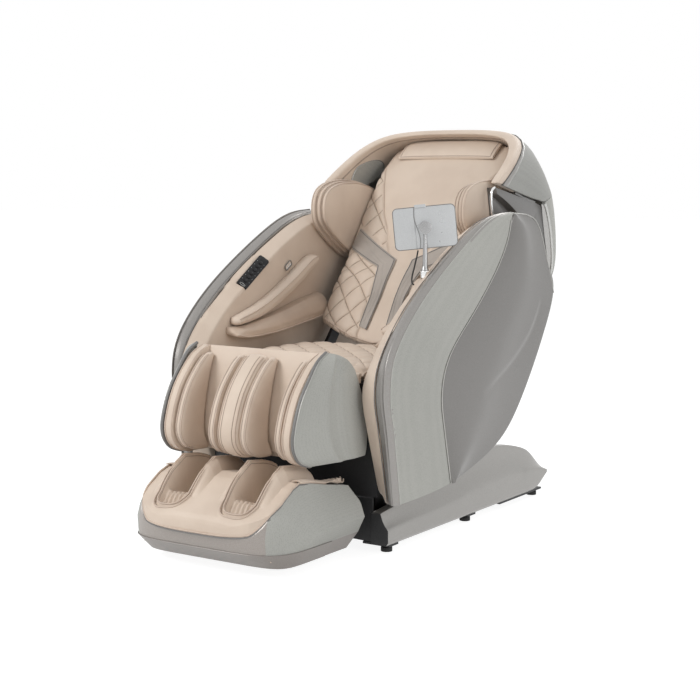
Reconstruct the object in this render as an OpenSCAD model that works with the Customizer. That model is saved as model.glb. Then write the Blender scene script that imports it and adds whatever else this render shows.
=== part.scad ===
// Massage chair: a floor base with curved tracks, a seat carriage between two arm pods,
// a reclining back with a deep hood, and a leg rest that lifts and lets its foot unit slide out.
// Millimetres. +X is the sitter's left, +Y the rear, +Z up. The origin is on the floor.

/* [Seat] */
// Clear width between the two arm pods
seat_w = 600; // [580:2:620]
// Height of the seat's top above the underside of the pods
seat_rise = 406; // [400:1:412]
// Thickness of the seat cushion
cushion_t = 56; // [48:1:60]
// Pitch of the diamond quilting
quilt_pitch = 86; // [70:2:110]
// Depth of the quilted seams
quilt_d = 7; // [4:0.5:9]

/* [Base] */
// Height of the pods' underside above the floor
base_h = 154; // [150:1:170]
// Height of the floor feet
foot_h = 19; // [15:1:22]
// Radius of a floor foot
foot_r = 17; // [13:1:20]
// Width of the steel side beams
beam_w = 40; // [34:1:44]
// Width of a rail cover outside its beam
cover_w = 60; // [50:1:66]
// Radius of the curved carriage track, at the middle of its channel
track_r = 700; // [690:2:710]
// Height of the track's channel
track_gap = 18; // [14:1:22]
// Sheet thickness of the track
track_t = 4; // [3:0.5:5]

/* [Arm pods] */
// Thickness of the padded inner lining of a pod
lining_t = 52; // [44:1:58]
// Thickness of the silver plate of a pod
plate_t = 31; // [26:1:36]
// Crown of the domed outer panels
dome = 11; // [7:1:14]
// Width of the bright seam strip
trim_w = 5; // [4:0.5:7]
// Thickness of the upper forearm pad
flap_t = 46; // [38:1:52]

/* [Back] */
// How far the hood stands out past the pods' inner faces, on each side
hood_over = 38; // [32:1:44]
// Wall of the hood and the back shell
shell_t = 10; // [7:0.5:12]
// Thickness of the padded hood rim
rim_t = 34; // [26:1:38]
// Room left beside the back pad for the side plates and the shoulder pads
side_room = 60; // [54:1:70]
// Thickness of the back pad
pad_t = 34; // [26:1:38]
// Thickness of one shoulder pad layer
wing_t = 15; // [11:0.5:16]
// Radius of a massage roller
roller_r = 34; // [28:1:38]

/* [Leg rest] */
// Side clearance of the leg rest between the pods
leg_gap = 15; // [12:1:20]
// Half width of the divider between the calf channels
divider_half = 38; // [32:1:44]
// Thickness of a calf air pad
calf_pad_t = 24; // [18:1:28]
// Radius of the foot unit's guide rods
rod_r = 8; // [6:0.5:9]
// Depth of the foot wells
well_d = 84; // [70:1:92]

/* [Pivots] */
// Radius of the pivot pins
pin_r = 8; // [6:0.5:10]
// Running clearance round pins, rods and sliding shoes
fit = 0.3; // [0.2:0.05:0.5]

/* [Controls] */
// Length of the key panel
panel_l = 150; // [140:1:160]
// Width of the key panel
panel_w = 38; // [34:1:42]
// Radius of a key
key_r = 6.5; // [5:0.25:7.5]
// Travel of a key
key_stroke = 0.8; // [0.5:0.1:1.2]
// Width of the tablet
tablet_w = 186; // [170:1:200]
// Height of the tablet
tablet_h = 124; // [112:1:130]
// Thickness of the tablet
tablet_t = 12; // [9:0.5:14]

/* [Hidden] */
BEIGE = "#d6c3b2";
SILVER = "#9a9892";
MESH = "#b4b4aa";
STEEL = "#5b5d60";
half = seat_w / 2;
hood_half = half + hood_over;
pad_w = seat_w - 2 * side_room;
touch = 0.3;
// ---- body frames: the deck is the underside of the pods ----
back_pivot = [85, 176];
leg_pivot = [-450, 326];
seat_z = seat_rise;
track_low = -14;
track_mid = [0, track_r + track_low];
// ---- pods, drawn in the YZ plane above the deck ----
ridge_pts = [[-399, 0], [-431, 209], [-453, 325], [-425, 444], [-298, 571],
    [-96, 697], [131, 804], [290, 822]];
inner_pts = [[-349, 0], [-416, 200], [-446, 318], [-412, 397], [-284, 530],
    [-85, 660], [130, 768], [285, 805]];
rear_pts = [[477, 790], [570, 650], [619, 545], [588, 455], [507, 352], [328, 151],
    [160, 66], [-67, 14], [-251, 0]];
seam_pts = [[-80, 14], [-118, 170], [-139, 291], [-93, 406], [71, 534], [198, 644], [270, 735], [294, 812]];
rear_up_pts = [[-60, 14], [160, 66], [328, 151], [507, 352], [619, 545], [570, 650], [477, 790], [306, 819]];
plate_share = 0.61;
// ---- back, drawn in the YZ plane from the recline pivot ----
spine_pts = [[527, 913], [590, 892], [645, 850], [690, 790], [721, 715], [738, 630], [741, 550], [737, 475],
    [721, 405], [690, 335], [615, 230], [515, 135]];
edge_pts = [[235, 732], [315, 715], [395, 698], [475, 683], [546, 669], [583, 610], [605, 540], [617, 470],
    [627, 410], [650, 350], [575, 240], [480, 150]];
half_w = [for (k = [0:11]) hood_half - [0, 0, 0, 0, 0, 0, 0, 2, 16, 55, 68, 83][k]];
round_x = [0, 0.32, 0.57, 0.73, 0.83, 0.905, 0.955, 0.99, 1];
round_d = [0, 0.007, 0.035, 0.095, 0.185, 0.31, 0.475, 0.72, 1];
pad_pts = [[12, 215], [65, 292], [145, 400], [207, 468], [269, 558], [351, 668],
    [428, 761], [494, 820], [555, 860]];
pad_vee = 0.115;
// ---- leg rest, drawn in the YZ plane from the leg pivot ----
calf_front_pts = [[-50, 112], [-102, 90], [-150, 46], [-184, 3], [-207, -42], [-222, -87], [-226, -118],
    [-218, -148], [-192, -176], [-145, -193]];
calf_rear_pts = [[-46, 114], [-30, 84], [-14, 52], [4, 26], [26, 0], [44, -25], [58, -62], [72, -116],
    [68, -160], [58, -187]];
side_front_pts = [[-62, 118], [-108, 94], [-150, 46], [-184, 3], [-207, -42], [-222, -87], [-226, -118],
    [-218, -148], [-192, -176], [-145, -193]];
side_rear_pts = [[-30, 108], [-4, 82], [14, 48], [30, 16], [44, -18], [55, -52], [64, -90], [68, -130],
    [66, -162], [58, -187]];
side_round = [[0, 0.45], [1, 0.78], [3, 1], [18, 1]];
foot_axis = [-0.26, -0.966];
foot_profile = [[33, -407], [33, -314], [13, -270], [-79, -254], [-149, -239], [-198, -233], [-232, -244],
    [-275, -270], [-322, -298], [-362, -322], [-378, -350], [-390, -460], [10, -460]];
// heights of the foot unit's rings with their half width, front and corner exponent
foot_rings = [[-454, 250, 303, 0.28], [-407, 277, 362, 0.42], [-360, 300, 378, 0.6], [-325, 288, 378, 0.6],
    [-285, 264, 378, 0.6], [-240, 240, 378, 0.6], [-215, 232, 378, 0.6]];

// ---- helpers ----
function mix(a, b, t) = a + (b - a) * t;
// one span of a Catmull-Rom curve from b to c
function span(a, b, c, d, t) =
    0.5 * (2 * b + (c - a) * t + (2 * a - 5 * b + 4 * c - d) * t * t + (3 * b - a - 3 * c + d) * t * t * t);
// smooth open curve through p, n steps to a span
function curve(p, n) = [
    for (i = [0:len(p) - 2], j = [0:n - 1])
        span(p[max(i - 1, 0)], p[i], p[i + 1], p[min(i + 2, len(p) - 1)], j / n),
    p[len(p) - 1]];
// smooth closed curve through p
function closed(p, n) = [
    for (i = [0:len(p) - 1], j = [0:n - 1])
        span(p[(i + len(p) - 1) % len(p)], p[i], p[(i + 1) % len(p)], p[(i + 2) % len(p)], j / n)];
function backward(p) = [for (i = [len(p) - 1:-1:0]) p[i]];
function at_x(p, x) = [for (q = p) [x, q[0], q[1]]];
function shift(p, d) = [for (q = p) q + d];
function total(v, i = 0) = i == len(v) ? v[0] * 0 : v[i] + total(v, i + 1);
function middle(p) = total(p) / len(p);
function turned(v) = [v[1], -v[0]];
function unit(v) = v / norm(v);
// closed outline p moved inward by d, p anticlockwise
function inset(p, d) = [
    for (i = [0:len(p) - 1])
        let (t = unit(p[(i + 1) % len(p)] - p[(i + len(p) - 1) % len(p)])) p[i] - d * turned(t)];
function area2(p) = total([for (i = [0:len(p) - 1]) cross(p[i], p[(i + 1) % len(p)])]);
function anticlockwise(p) = area2(p) < 0 ? backward(p) : p;
// value at a fractional station k of list p
function station(p, k) =
    k < 0 ? p[0] + (p[1] - p[0]) * k
    : let (i = min(floor(k), len(p) - 2))
        span(p[max(i - 1, 0)], p[i], p[i + 1], p[min(i + 2, len(p) - 1)], k - i);
// cubic bulge for soft cross-sections
function crown(u) = 1 - pow(abs(u), 2.6);

// outline in the YZ plane, given thickness along X
module slab_x(p, x0, x1) {
    translate([x0, 0, 0]) rotate([90, 0, 90]) linear_extrude(x1 - x0) polygon(p);
}
// turning the ring list keeps every solid's faces outward
function ring_normal(r) = total([for (i = [0:len(r) - 1]) cross(r[i], r[(i + 1) % len(r)])]);
// closed solid through closed rings with equal point counts; each end closes on a middle point
module loft(rings, end0 = [0, 0, 0], end1 = [0, 0, 0]) {
    m = len(rings);
    n = len(rings[0]);
    forward = ring_normal(shift(rings[0], -rings[0][0])) * (middle(rings[1]) - middle(rings[0])) > 0;
    turn = forward ? [0, 2, 1] : [0, 1, 2];
    points = [for (r = rings) each r, middle(rings[0]) + end0, middle(rings[m - 1]) + end1];
    tris = [
        for (k = [0:m - 2], i = [0:n - 1])
            let (a = k * n + i, b = k * n + (i + 1) % n)
                each [[a, b, b + n], [a, b + n, a + n]],
        for (i = [0:n - 1]) [(i + 1) % n, i, m * n],
        for (i = [0:n - 1]) [(m - 1) * n + i, (m - 1) * n + (i + 1) % n, m * n + 1]];
    polyhedron(points = points, faces = [for (t = tris) [t[turn[0]], t[turn[1]], t[turn[2]]]]);
}
// closed solid between two grids of points, the first on the side that shows
module sheet(front, back) {
    m = len(front);
    n = len(front[0]);
    c = floor(m / 2);
    e = floor(n / 2);
    facing = cross(front[c][e] - front[c - 1][e], front[c][e] - front[c][e - 1])
        * (front[c][e] - back[c][e]) > 0;
    turn = facing ? [0, 1, 2] : [0, 2, 1];
    g = m * n;
    function quad(a, b, c, d) = [[a, b, c], [a, c, d]];
    tris = [
        for (k = [0:m - 2], i = [0:n - 2])
            let (a = k * n + i)
                each concat(quad(a, a + 1, a + n + 1, a + n),
                    quad(g + a, g + a + n, g + a + n + 1, g + a + 1)),
        for (i = [0:n - 2]) each quad(i, g + i, g + i + 1, i + 1),
        for (i = [0:n - 2])
            let (a = (m - 1) * n + i) each quad(a, a + 1, g + a + 1, g + a),
        for (k = [0:m - 2]) each quad(k * n, k * n + n, g + k * n + n, g + k * n),
        for (k = [0:m - 2])
            let (a = k * n + n - 1) each quad(a, g + a, g + a + n, a + n)];
    points = concat([for (r = front) each r], [for (r = back) each r]);
    polyhedron(points = points, faces = [for (t = tris) [t[turn[0]], t[turn[1]], t[turn[2]]]]);
}
// closed solid under a grid of points; the underside is a ladder between two points for each row
module mat(top, under) {
    m = len(top);
    n = len(top[0]);
    g = m * n;
    c = floor(m / 2);
    facing = cross(top[c][n - 1] - top[c][0], top[c][0] - top[c - 1][0]) * (under[c][0] - top[c][0]) > 0;
    turn = facing ? [0, 2, 1] : [0, 1, 2];
    tris = [
        for (k = [0:m - 2], i = [0:n - 2])
            let (a = k * n + i) each [[a, a + n + 1, a + 1], [a, a + n, a + n + 1]],
        for (i = [0:n - 2]) [g, i, i + 1],
        [g, n - 1, g + 1],
        for (i = [0:n - 2]) [g + 2 * m - 2, (m - 1) * n + i + 1, (m - 1) * n + i],
        [g + 2 * m - 2, g + 2 * m - 1, m * n - 1],
        for (k = [0:m - 2])
            let (a = k * n, b = g + 2 * k, c = a + n - 1)
                each [[a, b, b + 2], [a, b + 2, a + n], [c, c + n, b + 3], [c, b + 3, b + 1],
                    [b, b + 1, b + 3], [b, b + 3, b + 2]]];
    points = concat([for (r = top) each r], [for (r = under) each r]);
    polyhedron(points = points, faces = [for (t = tris) [t[turn[0]], t[turn[1]], t[turn[2]]]]);
}
// soft pad with outline p in the YZ plane between x0 and x1, edges rounded by r, faces crowned by bulge
module pillow_x(p, x0, x1, r, bulge) {
    q = anticlockwise(p);
    w = x1 - x0;
    loft([at_x(inset(q, r), x0), at_x(inset(q, r * 0.25), x0 + w * 0.2), at_x(q, x0 + w / 2),
        at_x(inset(q, r * 0.25), x1 - w * 0.2), at_x(inset(q, r), x1)], [-bulge, 0, 0], [bulge, 0, 0]);
}
module both() {
    children();
    mirror([1, 0, 0]) children();
}
module on_side(s) {
    if (s > 0) children();
    else mirror([1, 0, 0]) children();
}
module at_deck() {
    translate([0, 0, base_h]) children();
}
module at_back() {
    translate([0, back_pivot[0], base_h + back_pivot[1]]) children();
}
module at_leg() {
    translate([0, leg_pivot[0], base_h + leg_pivot[1]]) children();
}
// cylinder along X from x0 to x1 at a point of the YZ plane
module rod_x(x0, x1, r, at) {
    translate([x0, at[0], at[1]]) rotate([0, 90, 0]) cylinder(r = r, h = x1 - x0, $fn = 48);
}
// part of a ring about the X axis through the track's centre, profile as [radius, x]
module track_arc(profile, a0, a1) {
    translate([0, track_mid[0], track_mid[1]])
        rotate([0, 90, 0]) rotate([0, 0, a0]) rotate_extrude(angle = a1 - a0, $fn = 360) polygon(profile);
}

// ================= base =================
beam_x = half - 15 - beam_w;
beam_top = 85;
beam_z = foot_h + 6;
foot_y = [-318, 150, 618];
cover_stations = [[-363, 72, 120], [-250, 78, 132], [-100, 84, 146], [60, 92, 168], [180, 98, 193],
    [285, 103, 212], [400, 106, 206], [500, 104, 186], [575, 100, 160], [635, 93, 116], [672, 82, 90]];
web_x = beam_x - 7;
channel_x = web_x - 21;

beam_y = [-340, 420];
cross_y = [-310, 110, 340];
web_half = 275;
track_reach = 22;
module base_frame() color(STEEL) {
    both() translate([beam_x, beam_y[0], beam_z]) cube([beam_w, beam_y[1] - beam_y[0], beam_top - beam_z]);
    for (y = cross_y)
        translate([-beam_x, y, beam_z + 6]) cube([2 * beam_x, 40, 36]);
    // outriggers carry the covers and the feet; the beams end in front of the reclined back,
    // so a tail plate under each cover runs on to the rear foot
    both() {
        for (y = [foot_y[0] - 25, foot_y[1] - 25, cross_y[2]])
            translate([beam_x, y, foot_h]) cube([beam_w + cover_w - 8, 50, 6]);
        translate([beam_x + beam_w + 2, cross_y[2], foot_h])
            cube([cover_w - 10, foot_y[2] + 25 - cross_y[2], 6]);
    }
    // webs rise from the beams and hold the curved tracks
    at_deck() both() {
        difference() {
            slab_x([[-web_half, beam_z + 10 - base_h], [web_half, beam_z + 10 - base_h], [web_half, 80],
                [-web_half, 80]], web_x, beam_x);
            translate([0, track_mid[0], track_mid[1]]) rotate([0, 90, 0])
                cylinder(r = track_r - track_gap / 2 - track_t - 2, h = half, $fn = 360);
        }
        track_arc([[track_r + track_gap / 2, channel_x], [track_r + track_gap / 2 + track_t, channel_x],
            [track_r + track_gap / 2 + track_t, web_x + 1], [track_r + track_gap / 2, web_x + 1]],
            -track_reach, track_reach);
        track_arc([[track_r - track_gap / 2 - track_t, channel_x], [track_r - track_gap / 2, channel_x],
            [track_r - track_gap / 2, web_x + 1], [track_r - track_gap / 2 - track_t, web_x + 1]],
            -track_reach, track_reach);
    }
}

// silver side rail with a hollowed upper flank that flares up under the pod
module rail_cover(s) color(SILVER) on_side(s) {
    x0 = beam_x + beam_w;
    x1 = x0 + cover_w;
    rings = [for (q = curve(cover_stations, 2))
        let (h = q[2] - q[1], b = beam_z + max(0, (q[0] - 600) * 0.55))
            [[x0, q[0], b], [x1 - 7, q[0], b], [x1, q[0], b + 10], [x1, q[0], q[1]],
                [x1 - 10, q[0], q[1] + h * 0.22],
                [x1 - 20, q[0], q[1] + h * 0.55], [x1 - 26, q[0], q[2]], [x0, q[0], q[2]]]];
    loft(rings);
}
module floor_feet() color("#1d1d1e")
    both() for (y = foot_y)
        translate([half + 12, y, 0]) {
            cylinder(r = foot_r, h = foot_h - 6, $fn = 48);
            cylinder(r = foot_r - 6, h = foot_h, $fn = 48);
        }
inlet_y = cross_y[2] + 40;
module power_inlet() color("#232425") difference() {
    translate([60, inlet_y, beam_z + 6]) cube([84, 24, 36]);
    // appliance socket and the rocker's pocket
    translate([68, inlet_y + 8, beam_z + 12]) cube([30, 20, 24]);
    translate([108, inlet_y + 8, beam_z + 13]) cube([14 + 2 * fit, 20, 22]);
    rod_x(106, 124.6, 1.5 + fit, [inlet_y + 17, beam_z + 24]);
}
module power_rocker() color("#b53a30") difference() {
    union() {
        translate([108 + fit, inlet_y + 14, beam_z + 16]) cube([14, 12, 16]);
        rod_x(106.6, 124, 1.5, [inlet_y + 17, beam_z + 24]);
    }
}

// ================= seat carriage =================
frame_x = channel_x - 11;
frame_t = 8;
arm_x = half - 60;
shoe_angles = [-7, 17];
function on_track(a) = [track_mid[0] + track_r * sin(a), track_mid[1] - track_r * cos(a)];
front_shoe = on_track(shoe_angles[0]);
rear_shoe = on_track(shoe_angles[1]);
shoe_r = [track_r - track_gap / 2 + fit, track_r + track_gap / 2 - fit];
shoe_x = [channel_x + 2, web_x - 1];
seat_low = seat_z - cushion_t - 12;
tube_z = seat_z - 93;
module seat_frame() color(STEEL) at_deck() {
    union() {
        both() {
            // side plates with a lobe down to each sliding shoe
            slab_x([[-390, seat_z - 112], [-390, seat_low], [62, seat_low],
                [120, 196], [116, 150], rear_shoe + [26, 23], rear_shoe + [26, -4],
                rear_shoe + [-26, -4], rear_shoe + [-40, 43], [60, 130], [-10, 190],
                front_shoe + [26, -4], front_shoe + [-26, -4],
                [front_shoe[0] - 34, 180], [-240, seat_z - 112]], frame_x, frame_x + frame_t);
            // back pivot: boss and pin
            rod_x(frame_x, plate_in - 1, 24, back_pivot);
            rod_x(plate_in - 1, plate_out + 5, pin_r, back_pivot);
            // arms forward to the leg pivot, with inward pins
            slab_x([leg_pivot + [-2, -18], leg_pivot + [-2, 18], [-360, seat_z - 74], [-300, seat_z - 74],
                [-300, seat_z - 112], [-380, seat_z - 112]], arm_x, arm_x + 8);
            rod_x(arm_x, arm_x + 8, 18, leg_pivot);
            rod_x(arm_x - 14, arm_x, pin_r, leg_pivot);
            // sliding shoes on stub pins
            for (a = shoe_angles) {
                rod_x(frame_x + frame_t, channel_x + 3, 7, on_track(a));
                track_arc([[shoe_r[0], shoe_x[0]], [shoe_r[1], shoe_x[0]], [shoe_r[1], shoe_x[1]],
                    [shoe_r[0], shoe_x[1]]], a - 2.2, a + 2.2);
            }
            // outriggers that carry the pods
            rod_x(frame_x, half, 13, [-340, tube_z]);
            rod_x(frame_x, half, 13, [-30, tube_z]);
        }
        rod_x(-frame_x, frame_x, 13, [-340, tube_z]);
        rod_x(-frame_x, frame_x, 13, [-30, tube_z]);
        rod_x(-frame_x, frame_x, 13, [150, 110]);
    }
}
seat_y = [-378, 70];
module seat_pan() color("#2a2a2b") at_deck()
    translate([-half + 48, seat_y[0], seat_low]) cube([seat_w - 96, 434, 12]);

// diamond quilting: 0 on a seam, 1 in the middle of a diamond
function quilt(x, y) =
    let (a = abs(sin(180 * (x + y) / quilt_pitch)), b = abs(sin(180 * (x - y) / quilt_pitch))) sqrt(a * b);
cushion_half = half - 40;
function cushion_top(x, y) =
    let (u = x / cushion_half, v = (y + 160) / 235)
        seat_z - 5 - quilt_d + quilt_d * quilt(x, y) + 8 * crown(u)
            - 26 * pow(abs(v), 9) - 12 * pow(abs(u), 9);
module seat_cushion() color(BEIGE) at_deck() {
    cells = 24;
    rows = 21;
    xs = [for (i = [0:cells]) -cushion_half + 2 * cushion_half * i / cells];
    ys = [for (k = [0:rows]) mix(seat_y[0], seat_y[1], k / rows)];
    mat([for (y = ys) [for (x = xs) [x, y, cushion_top(x, y)]]],
        [for (k = [0:rows]) [for (s = [-1, 1])
            [s * cushion_half, ys[k], seat_z - (k < 2 ? 44 : cushion_t)]]]);
}
module front_skirt() color(BEIGE) at_deck()
    loft([for (s = [-1, -0.96, 0, 0.96, 1])
        let (r = abs(s) == 1 ? 5 : 0, x = s * (half - 38), rear = seat_y[0] - touch)
            [[x, rear - 13.7 + r, seat_z - 66 + r], [x, rear, seat_z - 66 + r], [x, rear, seat_z - 28 - r],
                [x, rear - 9.7, seat_z - 28 - r], [x, rear - 15.7 + r, seat_z - 34 - r]]]);

// ================= arm pods =================
plate_x = half + lining_t;
face_x = plate_x + plate_t;
function outline(front, rear) = concat(curve(front, 3), [for (q = curve(rear, 2)) q]);
pod_ridge = outline(ridge_pts, rear_pts);
pod_inner = outline(inner_pts, rear_pts);
pod_mid = [for (i = [0:len(pod_ridge) - 1]) mix(pod_inner[i], pod_ridge[i], plate_share)];
module pod_lining(s) color(BEIGE) at_deck() difference() {
    on_side(s) {
        q = anticlockwise(pod_inner);
        loft([at_x(inset(q, 15), half), at_x(inset(q, 7), half + 4), at_x(inset(q, 1), half + 14),
            at_x(anticlockwise(pod_mid), plate_x)]);
    }
    if (s < 0)
        on_panel() translate([-panel_w / 2 - fit, -panel_l / 2 - fit, -7])
            cube([panel_w + 2 * fit, panel_l + 2 * fit, 40]);
    if (s > 0)
        translate(tablet_at - [0, 0, 18]) cylinder(r = socket_r + fit, h = 80, $fn = 48);
}
module pod_plate(s) color(SILVER) at_deck() on_side(s)
    loft([at_x(anticlockwise(pod_mid), plate_x), at_x(anticlockwise(pod_ridge), face_x)]);
// domed panel between two curves of the YZ plane; rise lists the height of each point across it
module panel(low, high, rise) {
    n = len(rise) - 1;
    a = curve(low, 3);
    b = curve(high, 3);
    rows = [for (k = [0:len(a) - 1]) [for (i = [0:n]) mix(a[k], b[k], i / n)]];
    sheet([for (r = rows) [for (i = [0:n]) [face_x + rise[i], r[i][0], r[i][1]]]],
        [for (r = rows) at_x(r, face_x)]);
}
module pod_mesh(s) color(MESH) at_deck() on_side(s)
    panel(shift(ridge_pts, [0.5, 0]), shift(seam_pts, [-trim_w * 0.7, 0]),
        [for (u = [0:0.2:1]) 2 + 6 * u + dome * sin(180 * u)]);
module pod_rear(s) color("#7a7875") at_deck() on_side(s)
    panel(shift(seam_pts, [trim_w * 0.7, 0]), rear_up_pts,
        [7, 7 + dome * 0.6, 6 + dome, 7 + dome * 1.05, dome * 0.9, dome * 0.42, 2]);
module pod_trims() color("#e4e4e2") at_deck() both()
    loft([for (q = curve(seam_pts, 3))
        [[face_x, q[0] - trim_w * 0.6, q[1]], [face_x, q[0] + trim_w * 0.6, q[1]],
            [face_x + 10, q[0] + trim_w * 0.45, q[1]], [face_x + 10, q[0] - trim_w * 0.45, q[1]]]]);

// ---- forearm pads on the pods' inner faces ----
flap_pts = [[-268, 497], [-165, 527], [-57, 571], [55, 629], [124, 668], [163, 676]];
flap_h = [26, 44, 52, 56, 52, 30];
arm_pad_pts = [[-290, 440], [-220, 430], [-88, 434], [68, 453], [150, 464], [212, 476]];
arm_pad_h = [26, 43, 60, 76, 80, 72];
arm_reach = side_room - 3;
module arm_flap(s) color(BEIGE) at_deck() on_side(s) {
    q = curve([for (i = [0:5]) [flap_pts[i][0], flap_pts[i][1], flap_h[i]]], 2);
    rings = [for (p = q)
        [[half, p[0], p[1]], [half - flap_t * 0.55, p[0], p[1] - 1],
            [half - flap_t * 0.9, p[0], p[1] - p[2] * 0.2],
            [half - flap_t, p[0], p[1] - p[2] * 0.5], [half - flap_t * 0.88, p[0], p[1] - p[2] * 0.82],
            [half - flap_t * 0.5, p[0], p[1] - p[2]], [half, p[0], p[1] - p[2] * 0.94]]];
    loft(rings, [0, -8, 0], [0, 8, 4]);
}
module arm_pad(s) color("#b9a392") at_deck() on_side(s) {
    q = curve([for (i = [0:5]) [arm_pad_pts[i][0], arm_pad_pts[i][1], arm_pad_h[i]]], 2);
    rings = [for (p = q)
        [[half, p[0], p[1] + p[2]], [half - arm_reach * 0.42, p[0], p[1] + p[2] * 0.9],
            [half - arm_reach * 0.74, p[0], p[1] + p[2] * 0.62],
                [half - arm_reach * 0.95, p[0], p[1] + p[2] * 0.3],
            [half - arm_reach, p[0], p[1] + 4], [half - arm_reach * 0.93, p[0], p[1]],
                [half, p[0], p[1] + 4]]];
    loft(rings, [0, -5, 0], [0, 5, 0]);
}

// ---- key panel on the right pod's slanted top ----
panel_at = [-half - 11, -132, 630];
slope = 33;
lean = 45;
key_pitch = 19;
module on_panel() translate(panel_at) rotate([slope, 0, 0]) rotate([0, lean, 0]) children();
module key_panel() color("#1b1c1e") at_deck() on_panel() difference() {
    translate([-panel_w / 2, -panel_l / 2, -7]) cube([panel_w, panel_l, 9]);
    for (i = [0:5])
        translate([0, (i - 2.5) * key_pitch, -3]) cylinder(r = key_r + fit, h = 20, $fn = 48);
}
module key(i) color("#3a3c3f") at_deck() on_panel()
    translate([0, (i - 3.5) * key_pitch, -3 + key_stroke + 0.2]) cylinder(r = key_r, h = 5.8, $fn = 48);
module usb_port() color("#c9c9c6") at_deck()
    translate([-half, 41, 643]) rotate([slope, 0, 0]) difference() {
        translate([0, -17, -8]) cube([3, 34, 16]);
        translate([1, -13, -5]) cube([4, 11, 10]);
        translate([1, 2, -5]) cube([4, 11, 10]);
    }
module control_box() color("#2c2d2f") at_deck()
    translate([-120, -250, seat_low - 60]) cube([240, 180, 60]);

// ---- tablet on its stalk ----
tablet_at = [half + 20, -120, 652];
ball = tablet_at + [0, 0, 132];
turn_z = 33.5;
socket_r = 15;
stalk_r = 6;
module tablet_base() color("#b9bab8") at_deck()
    translate(tablet_at - [0, 0, 18]) difference() {
        cylinder(r = socket_r, h = 22, $fn = 48);
        translate([0, 0, 6]) cylinder(r = stalk_r + fit, h = 40, $fn = 48);
    }
module tablet_arm() color("#c4c5c4") at_deck() translate(tablet_at) {
    translate([0, 0, -11.7]) cylinder(r = stalk_r, h = 16, $fn = 48);
    translate([0, 0, 4.3]) cylinder(r1 = 12, r2 = 8, h = 14, $fn = 48);
    translate([0, 0, 18.3]) cylinder(r1 = 8, r2 = 5, h = 100, $fn = 48);
    translate([0, 0, 132]) rotate([0, 0, turn_z]) difference() {
        union() {
            rotate([90, 0, 0]) translate([0, 0, -6]) cylinder(r = 19, h = 13, $fn = 48);
            translate([0, 0, -17]) cylinder(r = 6, h = 10, $fn = 48);
        }
        rotate([0, 90, 0]) translate([0, 0, -30]) cylinder(r = 3 + fit, h = 60, $fn = 48);
        translate([-6, -3, -25]) cube([12, 20, 50]);
    }
}
module tablet() color("#c2c5c6") at_deck() translate(ball) rotate([0, 0, turn_z]) {
    rotate([0, 5.5 - 11, 0]) difference() {
        translate([-tablet_w / 2, 14, -tablet_h / 2]) cube([tablet_w, tablet_t, tablet_h]);
        translate([-30, 13, -tablet_h]) cube([2, 2.2, 2 * tablet_h]);
    }
    translate([-5, 1.5, -5]) cube([10, 13.5, 10]);
    rotate([0, 90, 0]) translate([0, 0, -17]) cylinder(r = 3, h = 34, $fn = 48);
}
cable_r = 2.5;
cable_pts = [[300, -128, 716], [298, -130, 700], [294, -137, 670], [292, -148, 640], [298, -158, 622],
    [306, -161, 616]];
module tablet_cable() color("#161616") at_deck() {
    c = curve(cable_pts, 4);
    rings = [for (i = [0:len(c) - 1])
        let (t = unit(c[min(i + 1, len(c) - 1)] - c[max(i - 1, 0)]),
            u = unit(cross(t, [0, 1, 0])), v = cross(t, u))
            [for (a = [0:45:315]) c[i] + cable_r * (u * cos(a) + v * sin(a))]];
    loft(rings);
}

// ================= back =================
// point of the hood's and shell's U-shaped section at station k, u from -8 to 8, wall depth d inside
function shell_point(k, u, d) =
    let (s = station(spine_pts, k), e = station(edge_pts, k), w = station(half_w, k) - d, i = floor(abs(u)),
        r = mix([round_x[i], round_d[i]], [round_x[min(i + 1, 8)], round_d[min(i + 1, 8)]], abs(u) - i),
        q = mix(s + d * unit(e - s), e, r[1]))
            [sign(u) * w * r[0], q[0], q[1]];
function shell_row(k, d) = [for (u = [-8:8]) shell_point(k, u, d)];
module wrap(ks, d0, d1) {
    sheet([for (k = ks) shell_row(k, d0)], [for (k = ks) shell_row(k, d1)]);
}
hood_ks = [for (j = [0:8]) mix(0.24, 4, j / 8)];
module hood_shell() color(MESH) at_back() wrap(hood_ks, 0, shell_t);
module back_shell() color(SILVER) at_back() wrap([for (j = [0:14]) mix(4.02, 11, j / 14)], 0, shell_t);
// the rim rolls over the hood's front edge and lines it as far as its fifth row
rim_roll = [[-0.3, 10, 22], [-0.24, 3, rim_t - 4], [-0.12, 0, rim_t], [0.12, 0, rim_t], [0.22, 1, rim_t],
    [0.235, shell_t + touch, rim_t]];
rim_rows = concat(rim_roll, [for (j = [1:4]) [hood_ks[j], shell_t + touch, rim_t]]);
module hood_rim() color(BEIGE) at_back()
    sheet([for (q = rim_rows) shell_row(q[0], q[1])], [for (q = rim_rows) shell_row(q[0], q[2])]);
// point over the rim's straight-ruled lining, at row j of the hood and height h
function lining_point(j, u, h) =
    let (i = min(floor(j), 3))
        mix(shell_point(hood_ks[i], u, rim_t + h), shell_point(hood_ks[i + 1], u, rim_t + h), j - i);
// lens-shaped inserts on the inner sides of the hood
vent_rows = [[0.55, 0.2], [1, 0.7], [1.5, 1.1], [2, 1.28], [2.5, 1.32], [3, 1.22], [3.5, 0.85], [3.9, 0.2]];
module hood_vents() color("#a4a79f") at_back() both()
    sheet([for (q = vent_rows) [for (v = [-1, -0.4, 0.4, 1]) lining_point(q[0], 6.55 + v * q[1], 4)]],
        [for (q = vent_rows) [for (v = [-1, -0.4, 0.4, 1]) lining_point(q[0], 6.55 + v * q[1], 0.5)]]);

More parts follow.
